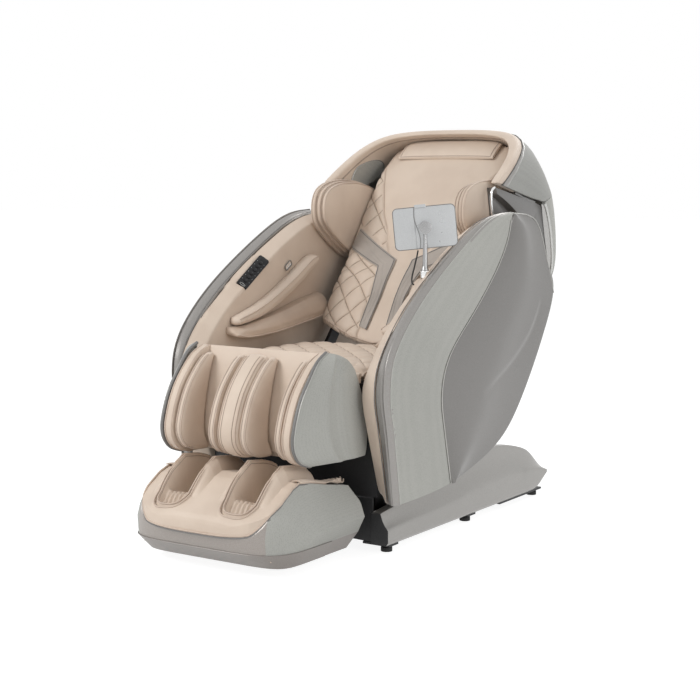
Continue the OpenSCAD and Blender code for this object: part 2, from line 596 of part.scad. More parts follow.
// ---- back pad: a mat with a pointed lower end, quilted beside its plain middle ----
function pad_at(t) = station(pad_pts, t * (len(pad_pts) - 1));
function pad_normal(t) = let (d = unit(pad_at(min(t + 0.02, 1)) - pad_at(max(t - 0.02, 0)))) [-d[1], d[0]];
pad_len = 900;
top_round = 0.05;
plain_half = [[0, 66], [0.34, 70], [0.385, 60], [0.5, 100], [0.577, 150], [0.69, 198], [0.8, 236], [1, 240]];
// place along the pad, from its pointed foot (v = 0) to its rounded head (v = 1)
function pad_param(x, v) =
    let (u = abs(2 * x / pad_w)) mix(pad_vee * pow(u, 1.2), 1 - top_round * pow(u, 6), v);
// 0 under a slanting band, 1 away from it
function band_free(x, t) =
    min(1, max(0, abs(t - mix(0.357, 0.488, (abs(x) - 50) / 180)) / 0.05 - 0.9) * 3);
function pad_base(x) = quilt_d * 0.6 + 10 * crown(2 * x / pad_w) - 12 * pow(abs(2 * x / pad_w), 12);
function pad_rise(x, t) =
    let (side = min(1, max(0, (abs(x) - lookup(t, plain_half)) / 12)) * band_free(x, t),
        v = t - pad_param(x, 0))
        pad_base(x) + side * quilt_d * (quilt(x, t * pad_len) - 0.6)
            - 12 * exp(-v / 0.012) - 12 * exp((t - pad_param(x, 1)) / 0.012);
function pad_point(x, t, h) = let (b = pad_at(t) + pad_normal(t) * h) [x, b[0], b[1]];
pad_cells = 22;
pad_rows = 32;
module back_pad() color(BEIGE) at_back() {
    xs = [for (i = [0:pad_cells]) pad_w * (i / pad_cells - 0.5)];
    vs = [for (k = [0:pad_rows]) k / pad_rows];
    mat([for (v = vs) [for (x = xs) let (t = pad_param(x, v)) pad_point(x, t, pad_rise(x, t))]],
        [for (v = vs) [for (s = [-1, 1]) pad_point(s * pad_w / 2, pad_param(pad_w / 2, v), -pad_t * 0.6)]]);
}
// taupe bands run in from the pad's edges, turn beside the middle and go down to its point
band_high = [[222, 0.523], [30, 0.385], [26, 0.2], [34, 0.072]];
band_low = [[232, 0.437], [92, 0.339], [68, 0.2], [68, 0.086]];
module back_bands() color("#a9a29a") at_back() both() {
    rows = [for (j = [0:2], i = [0:3])
        if (j == 0 || i > 0)
            let (low = mix(band_low[j], band_low[j + 1], i / 3),
                high = mix(band_high[j], band_high[j + 1], i / 3))
                [for (u = [0:0.5:1]) mix(low, high, u)]];
    sheet([for (r = rows) [for (q = r) pad_point(q[0], q[1], pad_base(q[0]) + 6.5)]],
        [for (r = rows) [for (q = r) pad_point(q[0], q[1], pad_base(q[0]) + 3)]]);
}
pillow_half = 186;
function pillow_param(u, v) = mix(0.91, v < 0 ? 0.835 : 0.985 - 0.028 * pow(abs(u), 6), abs(v));
module head_pillow() color(BEIGE) at_back() {
    us = [for (i = [0:14]) i / 7 - 1];
    vs = [for (k = [0:8]) k / 4 - 1];
    mat([for (v = vs) [for (u = us) pad_point(u * pillow_half, pillow_param(u, v),
            pad_base(0) + 2 + 26 * pow(crown(u / 1.02) * crown(v * 0.98), 0.45))]],
        [for (v = vs) [for (u = [-1, 1])
            pad_point(u * pillow_half, pillow_param(u, v), pad_base(0) + touch)]]);
}
// ---- layered shoulder pads ----
wing_pts = [[80, 640], [104, 712], [200, 744], [350, 738], [446, 690], [356, 560], [282, 480], [120, 572]];
wing_gap = 7.6;
module wing(s) color(BEIGE) at_back() on_side(s)
    for (i = [0:2])
        pillow_x([for (q = closed(wing_pts, 2)) mix(q, [260, 620], i * 0.02)],
            half - wing_gap - (i + 1) * wing_t - i * 0.4, half - wing_gap - i * (wing_t + 0.4), 6, 0.1);

// ---- steel back frame and massage head ----
rail_at = [165, 330];
rail_dir = [0.63, 0.776];
function along(d, n) = rail_at + d * rail_dir + n * [-rail_dir[1], rail_dir[0]];
rail_x = 100;
rail_n = [-84, -64];
rail_l = 526;
tie_at = along(420, -72);
tie_r = 9;
plate_in = half - 41;
plate_out = half - 29;
module back_frame() color(STEEL) at_back() difference() {
    union() {
        both() {
            rod_x(plate_in, plate_out, 24, [0, 0]);
            slab_x([[-16, 16], [14, -18], [70, 60], along(0, -95), along(rail_l, -95), along(rail_l, -55),
                along(0, -55), [30, 90]], plate_in, plate_out);
            // side boards that carry the back pad's edges, cut to the rows of its underside
            slab_x(concat([for (k = [1:pad_rows - 2])
                    let (t = pad_param(pad_w / 2, k / pad_rows))
                        pad_at(t) - pad_normal(t) * (pad_t * 0.6 + touch)],
                [along(rail_l, -74), along(0, -74)]), pad_w / 2 - 16, pad_w / 2 - 10);
            // ties out to the shell's side walls
            rod_x(plate_in, hood_half - shell_t, tie_r, tie_at);
            // straight rails for the massage head
            slab_x([along(-20, rail_n[0]), along(rail_l, rail_n[0]), along(rail_l, rail_n[1]),
                along(-20, rail_n[1])], rail_x, rail_x + 10);
        }
        for (d = [0, rail_l])
            rod_x(-plate_in, plate_in, 11, along(d, -74));
    }
    both() rod_x(plate_in - 9, plate_out + 9, pin_r + fit, [0, 0]);
}
// dark side walls between the pods and the hood; outside the pods' reach they run out to the hood's wall
side_in = half - 7;
side_pts = [[225, 722], [315, 705], [395, 690], [475, 676], [540, 660], [574, 605],
    [596, 540], [608, 470], [614, 415],
    [500, 385], [400, 420], [330, 470], [262, 560]];
pod_reach = max([for (q = pod_ridge) norm(q - back_pivot)]);
module back_sides() color("#2b2a2a") at_back() both() difference() {
    union() {
        slab_x(side_pts, side_in, side_in + 4);
        difference() {
            slab_x(side_pts, side_in + 4, hood_half - shell_t - touch);
            rod_x(0, 2 * half, pod_reach + 10, [0, 0]);
        }
    }
    rod_x(side_in - 10, hood_half, tie_r + fit, tie_at);
}
head_d = 60;
head_l = 90;
axle_n = -8;
axle_r = 6;
axle_at = along(head_d + head_l / 2, axle_n);
// block of the massage head between two heights over the rails' line
module head_block(n0, n1, x0, x1) {
    slab_x([along(head_d, n0), along(head_d + head_l, n0), along(head_d + head_l, n1),
        along(head_d, n1)], x0, x1);
}
module massage_head() color("#3b3d40") at_back() difference() {
    union() {
        both() {
            // shoes on both faces of each rail
            head_block(rail_n[0] - 14, rail_n[0] - fit, rail_x - 14, rail_x + 14);
            head_block(rail_n[1] + fit, rail_n[1] + 10, rail_x - 14, rail_x + 14);
            head_block(rail_n[0] - 14, rail_n[1] + 10, rail_x - 14, rail_x - fit);
            // roller arms
            slab_x([along(head_d + 15, -60), along(head_d + 33, axle_n + 12),
                along(head_d + 57, axle_n + 12),
                along(head_d + 75, -60)], rail_x - 24, rail_x - 13);
        }
        head_block(rail_n[0] - 8, rail_n[1] + 6, -rail_x + 13, rail_x - 13);
    }
    rod_x(-rail_x, rail_x, axle_r + fit, axle_at);
}
module massage_rollers() color("#55585c") at_back() {
    rod_x(-rail_x + 13, rail_x - 13, axle_r, axle_at);
    both() for (x = [22, 50]) {
        rod_x(x, x + 18, roller_r, axle_at);
        rod_x(x - 2, x + 20, roller_r - 8, axle_at);
    }
}

// ================= leg rest =================
function calf_outline(front, rear) = concat(curve(front, 2), backward(curve(rear, 2)));
calf_half = half - leg_gap;
calf_edge = calf_half - 48;
rim_in = calf_edge - 42;
// how far back the leg rest's top end may reach without touching the seat when it is lifted
lift_clear = -43;
// floor of the calf channels, which the divider and the air pads lie on
calf_floor = [for (i = [0, 2, 4, 6, 8, 9])
    mix(calf_front_pts[i], [i == 0 ? lift_clear : -20, calf_front_pts[i][1]], 0.58)];
module calf_frame() color(STEEL) at_leg() difference() {
    union() {
        both() {
            slab_x([[-16, -8], [0, 20], [16, 10], [22, -40], [22, -150], [0, -165], [-14, -150]],
                calf_edge - 11, calf_edge - 1);
            rod_x(calf_edge - 11, calf_edge - 1, 20, [0, 0]);
            on_rod() translate([0, 0, -118]) cylinder(r = rod_r + 5, h = 124, $fn = 48);
        }
        rod_x(-calf_edge + 1, calf_edge - 1, 9, [4, -60]);
        rod_x(-calf_edge + 1, calf_edge - 1, 9, [-8, -145]);
    }
    both() rod_x(calf_edge - 20, calf_edge + 5, pin_r + fit, [0, 0]);
    both() on_rod() translate([0, 0, -140]) cylinder(r = rod_r + fit, h = 170, $fn = 48);
}
module calf_shell() color(BEIGE) at_leg() {
    front = calf_front_pts;
    cheek = [for (q = front) mix(q, [q == front[0] ? lift_clear : -20, q[1]], 0.7)];
    both() slab_x(calf_outline(front, cheek), rim_in, calf_edge - 12);
    slab_x(concat(calf_floor, backward([for (q = calf_floor) mix(q, [-28, q[1]], 0.25)])), -rim_in, rim_in);
}
calf_back_pts = concat([[-24, 62]], [for (i = [2:9]) calf_rear_pts[i]]);
module calf_back() color("#202122") at_leg()
    slab_x(concat(curve(calf_back_pts, 2), backward(curve(shift(calf_back_pts, [-5, -1]), 2))),
        -calf_edge + 24, calf_edge - 24);
module calf_sides() color(MESH) at_leg() both() {
    a = curve(side_front_pts, 2);
    b = curve(side_rear_pts, 2);
    rise = [0, 16, 29, 39, 45, 48];
    rows = [for (k = [0:len(a) - 1])
        [for (i = [0:5]) let (q = mix(a[k], b[k], i / 5))
            [calf_edge + rise[i] * lookup(k, side_round), q[0], q[1]]]];
    sheet(rows, [for (r = rows) shift(r, [-8, 0, 0])]);
}
// lays a pad's rear on the channel floor; the end points keep clear where its rounded ends turn under
function on_floor(front) =
    concat(front, backward([for (i = [1:5]) calf_floor[i] - [i < 3 ? 1 : 8, 0]]));
module calf_divider() color(BEIGE) at_leg()
    pillow_x(on_floor(calf_front_pts), -divider_half, divider_half, 10, 3);
module calf_pads(s) color(BEIGE) at_leg() on_side(s) {
    pad_outline = on_floor([for (q = calf_front_pts) mix(q, [-120, -60], 0.04)]);
    pillow_x(pad_outline, divider_half + 6, divider_half + 6 + calf_pad_t, 9, 1);
    pillow_x(pad_outline, rim_in - 6 - calf_pad_t, rim_in - 6, 9, 1);
}

// ---- foot unit ----
// the rings are drawn for a seat 600 wide
foot_drawn_w = 600;
foot_grow = seat_w / foot_drawn_w;
foot_top_half = 236 * foot_grow;
foot_back = -72;
foot_shelf = -322;
well_x = 118;
corner_y = -100;
function foot_half(z) = foot_grow * lookup(z, [for (r = foot_rings) [r[0], r[1]]]);
// half width of the unit at y where its straight sides are h apart from the middle
function plan_half(y, h) =
    let (f = foot_rings[3][2], e = foot_rings[3][3], t = max(0, (corner_y - y) / (f + corner_y)))
        h * pow(max(0, 1 - pow(t, 2 / e)), e / 2);
function foot_ring(r) =
    let (right = [for (a = [0:7.5:90])
        [foot_grow * r[1] * pow(cos(a), r[3]), corner_y - (r[2] + corner_y) * pow(sin(a), r[3]), r[0]]])
            concat([[foot_grow * r[1], 40, r[0]]], right,
                backward([for (k = [0:11]) [-right[k][0], right[k][1], r[0]]]),
                    [[-foot_grow * r[1], 40, r[0]]]);
module foot_solid() intersection() {
    slab_x(foot_profile, -half, half);
    loft([for (r = foot_rings) foot_ring(r)]);
}
module on_rod() translate([120, 16, -56]) rotate([-atan2(-foot_axis[0], -foot_axis[1]), 0, 0]) children();
foot_edge_pts = [[-378, -350], [-372, -333], [-362, -322], [-322, -298], [-275, -270], [-232, -244],
    [-198, -233], [-149, -239], [-79, -254], [9, -270]];
function foot_edge(y) = lookup(y, foot_edge_pts);
function cushion_side(y) = min(foot_top_half, plan_half(y, foot_half(foot_edge(y))) - 1);
// the padding rolls over the toe on a sloping shelf and lies deep in a pocket behind it
toe_pts = [[-390, -366], [-358, -356], [-345, -336], [-330, -314], [foot_shelf, -312]];
toe_ys = [-376, -372, -366, -358, -345, -330, foot_shelf - 4];
deep_ys = [for (k = [0:13]) mix(foot_shelf, foot_back, k / 13)];
deep_z = -430;
function padding_floor(y) = y < foot_shelf ? lookup(y, toe_pts) : deep_z;
module foot_shell() color("#9a9089") at_leg() difference() {
    foot_solid();
    slab_x(concat(toe_pts, [[foot_shelf, -100], [-390, -100]]), -half - 1, half + 1);
    translate([0, 0, deep_z]) linear_extrude(300) {
        pocket = concat([foot_shelf - 4 - touch], deep_ys);
        wall = [for (y = pocket) cushion_side(y) + touch];
        polygon(concat([for (k = [0:len(pocket) - 1]) [-wall[k], pocket[k]]],
            backward([for (k = [0:len(pocket) - 1]) [wall[k], pocket[k]]])));
    }
    both() on_rod() translate([0, 0, -250]) cylinder(r = rod_r, h = 100, $fn = 48);
}
// 1 in the middle of a foot well, 0 outside it
function well(x, y) =
    let (u = (abs(x) - well_x) / 46, v = (y + 182) / 128)
        max(0, min(1, 2.2 * (1 - pow(abs(u), 3) - pow(abs(v), 6))));
// height of the air pads that stand beside the wells
function side_pad(x, y) =
    let (u = (abs(abs(x) - well_x) - 58) / 24, v = (y + 160) / 150)
        34 * max(0, 1 - u * u) * max(0, 1 - pow(abs(v), 3));
function foot_top(x, y) =
    foot_edge(y) + 9 * crown(x / cushion_side(y)) + side_pad(x, y) - well_d * well(x, y);
module foot_cushion() color(BEIGE) at_leg() {
    ys = concat(toe_ys, deep_ys);
    us = [for (i = [0:30]) i / 15 - 1];
    mat([for (y = ys) [for (u = us) let (x = u * cushion_side(y)) [x, y, foot_top(x, y)]]],
        [for (y = ys) [for (u = [-1, 1]) [u * cushion_side(y), y, padding_floor(y)]]]);
}
module foot_rods() color("#8d9094") at_leg() both() on_rod()
    translate([0, 0, -250]) cylinder(r = rod_r, h = 250, $fn = 48);

base_frame();
rail_cover(1);  // rail_cover_left
rail_cover(-1);  // rail_cover_right
floor_feet();
power_inlet();
power_rocker();
seat_frame();
seat_pan();
seat_cushion();
front_skirt();
pod_lining(1);  // pod_lining_left
pod_lining(-1);  // pod_lining_right
pod_plate(1);  // pod_plate_left
pod_plate(-1);  // pod_plate_right
pod_mesh(1);  // pod_mesh_left
pod_mesh(-1);  // pod_mesh_right
pod_rear(1);  // pod_rear_left
pod_rear(-1);  // pod_rear_right
pod_trims();
arm_flap(1);  // arm_flap_left
arm_flap(-1);  // arm_flap_right
arm_pad(1);  // arm_pad_left
arm_pad(-1);  // arm_pad_right
key_panel();
key(1);  // key_1
key(2);  // key_2
key(3);  // key_3
key(4);  // key_4
key(5);  // key_5
key(6);  // key_6
usb_port();
control_box();
back_frame();
back_sides();
back_shell();
hood_shell();
hood_rim();
hood_vents();
back_pad();
back_bands();
head_pillow();
wing(1);  // wing_left
wing(-1);  // wing_right
massage_head();
massage_rollers();
calf_frame();
calf_shell();
calf_back();
calf_sides();
calf_divider();
calf_pads(1);  // calf_pads_left
calf_pads(-1);  // calf_pads_right
foot_shell();
foot_cushion();
foot_rods();
tablet_base();
tablet_arm();
tablet();
tablet_cable();
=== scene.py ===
import math

import bpy
import numpy as np
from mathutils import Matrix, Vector


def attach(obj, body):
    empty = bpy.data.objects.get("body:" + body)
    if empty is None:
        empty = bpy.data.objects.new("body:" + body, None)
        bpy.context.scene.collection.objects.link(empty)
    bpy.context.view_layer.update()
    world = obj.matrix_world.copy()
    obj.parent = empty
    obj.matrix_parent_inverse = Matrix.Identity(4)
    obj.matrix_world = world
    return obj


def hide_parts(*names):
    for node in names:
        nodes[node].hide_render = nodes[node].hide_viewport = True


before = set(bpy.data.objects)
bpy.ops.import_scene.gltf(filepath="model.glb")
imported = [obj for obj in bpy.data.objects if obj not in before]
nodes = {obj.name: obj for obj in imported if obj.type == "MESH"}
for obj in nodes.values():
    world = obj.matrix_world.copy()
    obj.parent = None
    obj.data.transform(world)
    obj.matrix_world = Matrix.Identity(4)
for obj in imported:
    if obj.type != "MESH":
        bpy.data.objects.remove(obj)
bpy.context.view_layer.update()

# %% [markdown]
# ## Camera
# The chair stands about five metres away and a little below the lens, turned so that its near side and its
# front both show. A long lens keeps the perspective gentle, so straight edges stay nearly parallel.
# %% Place the camera
camera_azimuth = math.radians(33.5185)
camera_pitch = math.radians(6.7213)
focal_in_widths = 1500 / 700
backward = Vector((math.sin(camera_azimuth) * math.cos(camera_pitch),
                   -math.cos(camera_azimuth) * math.cos(camera_pitch), math.sin(camera_pitch)))
bpy.ops.object.camera_add(location=(2.5924, -3.9545, 1.0975))
camera = bpy.context.active_object
camera.rotation_euler = (-backward).to_track_quat("-Z", "Y").to_euler()
camera.data.sensor_width = 36
camera.data.lens = 36 * focal_in_widths
bpy.context.scene.camera = camera
print("lens", round(camera.data.lens, 1), "mm")

# %% [markdown]
# ## The short black lead
# A thin lead leaves a grommet in the left pod and goes up into the tablet's mount. It is only long enough
# for the stalk to swing. A curve along the same route points, given a round section, is the plainest way.
# %% Make the lead
deck = 0.154
lead_points = [(0.300, -0.128, 0.716), (0.298, -0.130, 0.700), (0.294, -0.137, 0.670), (0.292, -0.148, 0.640),
               (0.298, -0.158, 0.622), (0.306, -0.161, 0.616)]


def curve_between(a, b, c, d, t):
    """The place t of the way from b to c on a smooth curve, with a and d as its neighbours."""
    return 0.5 * (2 * b + (c - a) * t + (2 * a - 5 * b + 4 * c - d) * t ** 2 + (3 * b - a - 3 * c + d) * t ** 3)


def smooth_line(points, steps, closed=False):
    """Points of a smooth curve that passes through every given point."""
    p = np.array(points, float)
    n = len(p)
    out = []
    for i in range(n if closed else n - 1):
        if closed:
            a, b, c, d = p[i - 1], p[i], p[(i + 1) % n], p[(i + 2) % n]
        else:
            a, b, c, d = p[max(i - 1, 0)], p[i], p[i + 1], p[min(i + 2, n - 1)]
        out += [curve_between(a, b, c, d, j / steps) for j in range(steps)]
    if not closed:
        out.append(p[-1])
    return np.array(out)


def only(obj):
    """Selects one object and nothing else."""
    bpy.ops.object.select_all(action="DESELECT")
    obj.select_set(True)
    bpy.context.view_layer.objects.active = obj


def bead(name, path, radius, closed=False, sides=2):
    """A round bead along a path, such as piping, a seam cord or a bright strip, as a mesh."""
    data = bpy.data.curves.new(name, "CURVE")
    data.dimensions = "3D"
    data.bevel_depth = radius
    data.bevel_resolution = sides
    data.use_fill_caps = True
    line = data.splines.new("POLY")
    line.points.add(len(path) - 1)
    line.points.foreach_set("co", np.c_[np.array(path), np.ones(len(path))].ravel())
    line.use_cyclic_u = closed
    obj = bpy.data.objects.new(name, data)
    bpy.context.scene.collection.objects.link(obj)
    only(obj)
    bpy.ops.object.convert(target="MESH")
    bpy.ops.object.shade_smooth()
    return bpy.context.active_object


lead_route = smooth_line(lead_points, 6) + [0, 0, deck]
lead = bead("tablet_lead", lead_route, 0.0024, sides=3)
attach(lead, "carriage")
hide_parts("tablet_cable")

# %% [markdown]
# ## Finishes
# The chair has few finishes: pale beige leather, a taupe leather for the bands, a dotted grey-green cloth,
# satin silver paint, dark smooth plastic, bright chrome, black rubber and steel that nobody looks at.
# Each is a small node tree on Object coordinates, so the grain keeps its real size on every piece.
# %% Node helpers
def finish(name, roughness, metallic=0.0, **sockets):
    """A material with one shader whose even values are set on its own sockets."""
    material = bpy.data.materials.new(name)
    material.use_nodes = True
    shader = material.node_tree.nodes["Principled BSDF"]
    shader.inputs["Roughness"].default_value = roughness
    shader.inputs["Metallic"].default_value = metallic
    for socket, value in sockets.items():
        shader.inputs[socket.replace("_", " ")].default_value = value
    return material


def place(owner, kind, settings=None, **inputs):
    """Adds a node to a material or world; an input, by name or as i and its number, is a value or an output."""
    node = owner.node_tree.nodes.new(kind)
    for key, value in (settings or {}).items():
        setattr(node, key, value)
    for key, value in inputs.items():
        numbered = key[0] == "i" and key[1:].isdigit()
        socket = node.inputs[int(key[1:]) if numbered else key.replace("_", " ")]
        if isinstance(value, bpy.types.NodeSocket):
            owner.node_tree.links.new(value, socket)
        else:
            socket.default_value = value
    return node


def wire(material, output, socket):
    """Joins an output to a socket of the material's shader."""
    shader = material.node_tree.nodes["Principled BSDF"]
    material.node_tree.links.new(output, shader.inputs[socket])


def blend_colours(material, factor, low, high, edges=(0.0, 1.0)):
    """A colour ramp from low to high."""
    ramp = place(material, "ShaderNodeValToRGB", Fac=factor)
    for stop, edge, colour in zip(ramp.color_ramp.elements, edges, (low, high)):
        stop.position = edge
        stop.color = (*colour, 1)
    return ramp.outputs["Color"]


def spot(material):
    """Where on the piece a point lies, in metres."""
    return place(material, "ShaderNodeTexCoord").outputs["Object"]


print("node helpers ready")

# %% [markdown]
# Leather shows three scales: clouds of tone as wide as a hand, wrinkles as wide as a finger, and pebbles under two
# millimetres. One noise each gives them, and the two small ones only bend the light. A scanned texture would show
# its edges and repeats somewhere, and noise never does.
# %% Leather
def seam_lines(material):
    """1 along the seams of a quilted piece: reads the seam coordinates that the piece carries."""
    carried = place(material, "ShaderNodeAttribute", {"attribute_name": "quilt"}).outputs["Vector"]
    parts = place(material, "ShaderNodeSeparateXYZ", Vector=carried)
    away = [place(material, "ShaderNodeMath", {"operation": "PINGPONG"}, i0=parts.outputs[k], i1=0.5) for k in (0, 1)]
    nearest = place(material, "ShaderNodeMath", {"operation": "MINIMUM"}, i0=away[0].outputs[0], i1=away[1].outputs[0])
    line = place(material, "ShaderNodeMapRange", Value=nearest.outputs[0], From_Min=0.012, From_Max=0.036, To_Min=1.0,
                 To_Max=0.0)
    kept = place(material, "ShaderNodeMath", {"operation": "MULTIPLY"}, i0=line.outputs[0], i1=parts.outputs[2])
    return kept.outputs[0]


def leather(name, light, dark, roughness=0.52, quilted=False):
    """Soft leather: slow changes of tone, fine pebbles, faint wrinkles and, where quilted, sunken seams darkened by
    painted shade.
    """
    m = finish(name, roughness, Specular_IOR_Level=0.35, Sheen_Weight=0.15, Sheen_Roughness=0.5)
    at = spot(m)
    cloud = place(m, "ShaderNodeTexNoise", Vector=at, Scale=9.0, Detail=3.0).outputs["Fac"]
    tone = blend_colours(m, cloud, dark, light, (0.35, 0.62))
    pebble = place(m, "ShaderNodeTexVoronoi", Vector=at, Scale=620.0).outputs["Distance"]
    crease = place(m, "ShaderNodeTexNoise", Vector=at, Scale=60.0, Detail=6.0, Distortion=1.2).outputs["Fac"]
    low = place(m, "ShaderNodeBump", Strength=0.12, Distance=0.0012, Height=crease).outputs["Normal"]
    if quilted:
        seam = seam_lines(m)
        # Painted shade: the tone is darkened along the sunken seams.
        seam_shade = place(m, "ShaderNodeMix", {"data_type": "RGBA", "blend_type": "MULTIPLY"}, i0=seam, i6=tone)
        seam_shade.inputs[7].default_value = (0.62, 0.58, 0.54, 1)
        tone = seam_shade.outputs[2]
        low = place(m, "ShaderNodeBump", {"invert": True}, Strength=0.5, Distance=0.002, Height=seam,
                    Normal=low).outputs["Normal"]
    wire(m, tone, "Base Color")
    top = place(m, "ShaderNodeBump", Strength=0.22, Distance=0.0004, Height=pebble, Normal=low).outputs["Normal"]
    wire(m, top, "Normal")
    return m


beige = leather("beige_leather", (0.68, 0.565, 0.465), (0.63, 0.515, 0.42))
quilt_beige = leather("quilted_leather", (0.68, 0.565, 0.465), (0.63, 0.515, 0.42), quilted=True)
# A darker copy of the beige leather: painted shade for the lower forearm pad under the flap.
shade_beige = leather("shaded_leather", (0.60, 0.475, 0.375), (0.54, 0.42, 0.33))
taupe = leather("taupe_leather", (0.42, 0.375, 0.335), (0.36, 0.32, 0.285))
piping = leather("piping_leather", (0.60, 0.485, 0.395), (0.54, 0.43, 0.35))
thread = leather("stitch_thread", (0.42, 0.33, 0.27), (0.36, 0.28, 0.22), 0.7)
print("leathers", len(bpy.data.materials))

# %% [markdown]
# The cloth on the panels is woven tight, with a dot every few millimetres. A woven texture could be wrapped round
# them, but each panel would need unwrapping first, so Voronoi cells, held nearly in rows by a low randomness, give
# the dots. Paint, plastic, steel and rubber share one recipe, a fine flake and a gloss that wears
# unevenly, and differ only in their colours, roughness and share of metal.
# %% Dotted cloth, paint and plastic
def dotted(name, light, dot, tone):
    """Tight cloth with a regular dot; tone is the slow change of shade over a panel."""
    m = finish(name, 0.62, Specular_IOR_Level=0.3, Sheen_Weight=0.12, Sheen_Roughness=0.4)
    at = spot(m)
    cell = place(m, "ShaderNodeTexVoronoi", Vector=at, Scale=290.0, Randomness=0.55).outputs["Distance"]
    weave = blend_colours(m, cell, dot, light, (0.18, 0.42))
    cloud = place(m, "ShaderNodeTexNoise", Vector=at, Scale=3.0, Detail=2.0).outputs["Fac"]
    shade = blend_colours(m, cloud, tone, (1, 1, 1), (0.3, 0.7))
    mixed = place(m, "ShaderNodeMix", {"data_type": "RGBA", "blend_type": "MULTIPLY"}, i0=1.0, i6=weave, i7=shade)
    wire(m, mixed.outputs[2], "Base Color")
    bump = place(m, "ShaderNodeBump", Strength=0.25, Distance=0.0005, Height=cell).outputs["Normal"]
    wire(m, bump, "Normal")
    return m


def painted(name, light, dark, roughness, metallic, grain=420.0, **sockets):
    """Paint or moulded plastic: fine flake or grain and a little unevenness in the gloss."""
    m = finish(name, roughness, metallic, **sockets)
    at = spot(m)
    flake = place(m, "ShaderNodeTexNoise", Vector=at, Scale=grain, Detail=2.0).outputs["Fac"]
    wire(m, blend_colours(m, flake, dark, light, (0.4, 0.6)), "Base Color")
    worn = place(m, "ShaderNodeTexNoise", Vector=at, Scale=6.0, Detail=4.0).outputs["Fac"]
    gloss = place(m, "ShaderNodeMapRange", Value=worn, To_Min=roughness * 0.85, To_Max=roughness * 1.15)
    wire(m, gloss.outputs[0], "Roughness")
    bump = place(m, "ShaderNodeBump", Strength=0.06, Distance=0.0003, Height=flake).outputs["Normal"]
    wire(m, bump, "Normal")
    return m


cloth_side = dotted("dotted_cloth", (0.43, 0.43, 0.40), (0.335, 0.335, 0.31), (0.9, 0.9, 0.9))
silver = painted("satin_silver", (0.33, 0.315, 0.30), (0.29, 0.275, 0.26), 0.33, 0.5)
rail_silver = painted("rail_silver", (0.36, 0.35, 0.335), (0.32, 0.31, 0.295), 0.32, 0.55)
pod_dark = painted("pod_shadow_grey", (0.215, 0.207, 0.198), (0.19, 0.183, 0.175), 0.30, 0.35)
foot_paint = painted("foot_metallic", (0.37, 0.335, 0.31), (0.33, 0.30, 0.275), 0.38, 0.35)
foot_low = painted("foot_lower_metallic", (0.27, 0.245, 0.225), (0.235, 0.213, 0.197), 0.40, 0.35)
bright_line = painted("bright_line", (0.60, 0.60, 0.58), (0.54, 0.54, 0.52), 0.25, 0.6)
soft_line = painted("soft_line", (0.47, 0.465, 0.44), (0.42, 0.415, 0.39), 0.32, 0.5)
# A bright silver for the painted highlight on the rear shell's inner lip.
highlight_silver = painted("blade_silver", (0.50, 0.49, 0.475), (0.45, 0.44, 0.425), 0.26, 0.55)
thin_grey = painted("thin_grey_edge", (0.20, 0.195, 0.19), (0.17, 0.165, 0.16), 0.45, 0.1)
wall_grey = painted("side_wall_grey", (0.20, 0.195, 0.19), (0.178, 0.173, 0.168), 0.32, 0.4)
# A darker copy of the dotted cloth for the hood cover: painted shade.
hood_cloth = dotted("hood_cloth", (0.36, 0.36, 0.34), (0.28, 0.28, 0.265), (0.9, 0.9, 0.9))
gloss_dark = painted("dark_gloss", (0.014, 0.014, 0.015), (0.009, 0.009, 0.010), 0.42, 0.0, Specular_IOR_Level=0.25)
matt_dark = painted("dark_plastic", (0.022, 0.022, 0.023), (0.015, 0.015, 0.016), 0.6, 0.0)
frame_steel = painted("black_steel", (0.03, 0.03, 0.032), (0.02, 0.02, 0.022), 0.45, 0.4)
rubber = painted("rubber", (0.018, 0.018, 0.018), (0.012, 0.012, 0.012), 0.75, 0.0)
chrome = painted("chrome", (0.85, 0.85, 0.84), (0.78, 0.78, 0.78), 0.12, 1.0)
tablet_silver = painted("tablet_silver", (0.54, 0.55, 0.555), (0.50, 0.51, 0.515), 0.28, 0.45)
red_gloss = painted("rocker_red", (0.42, 0.05, 0.04), (0.36, 0.04, 0.03), 0.25, 0.0)
roller_grey = painted("roller_rubber", (0.07, 0.072, 0.076), (0.05, 0.052, 0.055), 0.6, 0.0)
lead.data.materials.append(rubber)
print("finishes", len(bpy.data.materials))

# %% [markdown]
# ## Ways to make pieces
# A few helpers do most of the work. `soft_copy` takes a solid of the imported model, welds its loose triangles,
# turns them into quads and rounds them with subdivision. `hard_copy` welds it too, but only rounds its edges.
# `mirrored` makes the same piece for the other side, and `pair` puts both in place at once.
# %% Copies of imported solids
def put(obj, material, body, *stands_for, slot=None):
    """Gives a piece its finish, its body and the solids that it stands for."""
    obj.data.materials.clear()
    obj.data.materials.append(material)
    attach(obj, body)
    if stands_for:
        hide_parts(*stands_for)
    return obj


def in_edit_mode(obj, *steps):
    """Takes steps in edit mode with the whole mesh of one piece selected."""
    only(obj)
    bpy.ops.object.mode_set(mode="EDIT")
    bpy.ops.mesh.select_all(action="SELECT")
    for step in steps:
        step()
    bpy.ops.object.mode_set(mode="OBJECT")


def face_outwards():
    """Turns all faces to look outwards; a step for edit mode."""
    bpy.ops.mesh.normals_make_consistent(inside=False)


def copied(source, name):
    """A free copy of a piece, with a mesh of its own."""
    obj = source.copy()
    obj.data = source.data.copy()
    obj.parent = None
    for key in list(obj.keys()):
        del obj[key]
    obj.name = name
    bpy.context.scene.collection.objects.link(obj)
    return obj


def welded(node, name):
    """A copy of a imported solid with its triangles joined."""
    obj = copied(nodes[node], name)
    only(obj)
    obj.data.materials.clear()
    bpy.ops.mesh.customdata_custom_splitnormals_clear()
    in_edit_mode(obj, lambda: bpy.ops.mesh.remove_doubles(threshold=0.00002))
    return obj


def apply_all(obj):
    """Applies every modifier of a piece, in their order."""
    only(obj)
    for modifier in list(obj.modifiers):
        bpy.ops.object.modifier_apply(modifier=modifier.name)


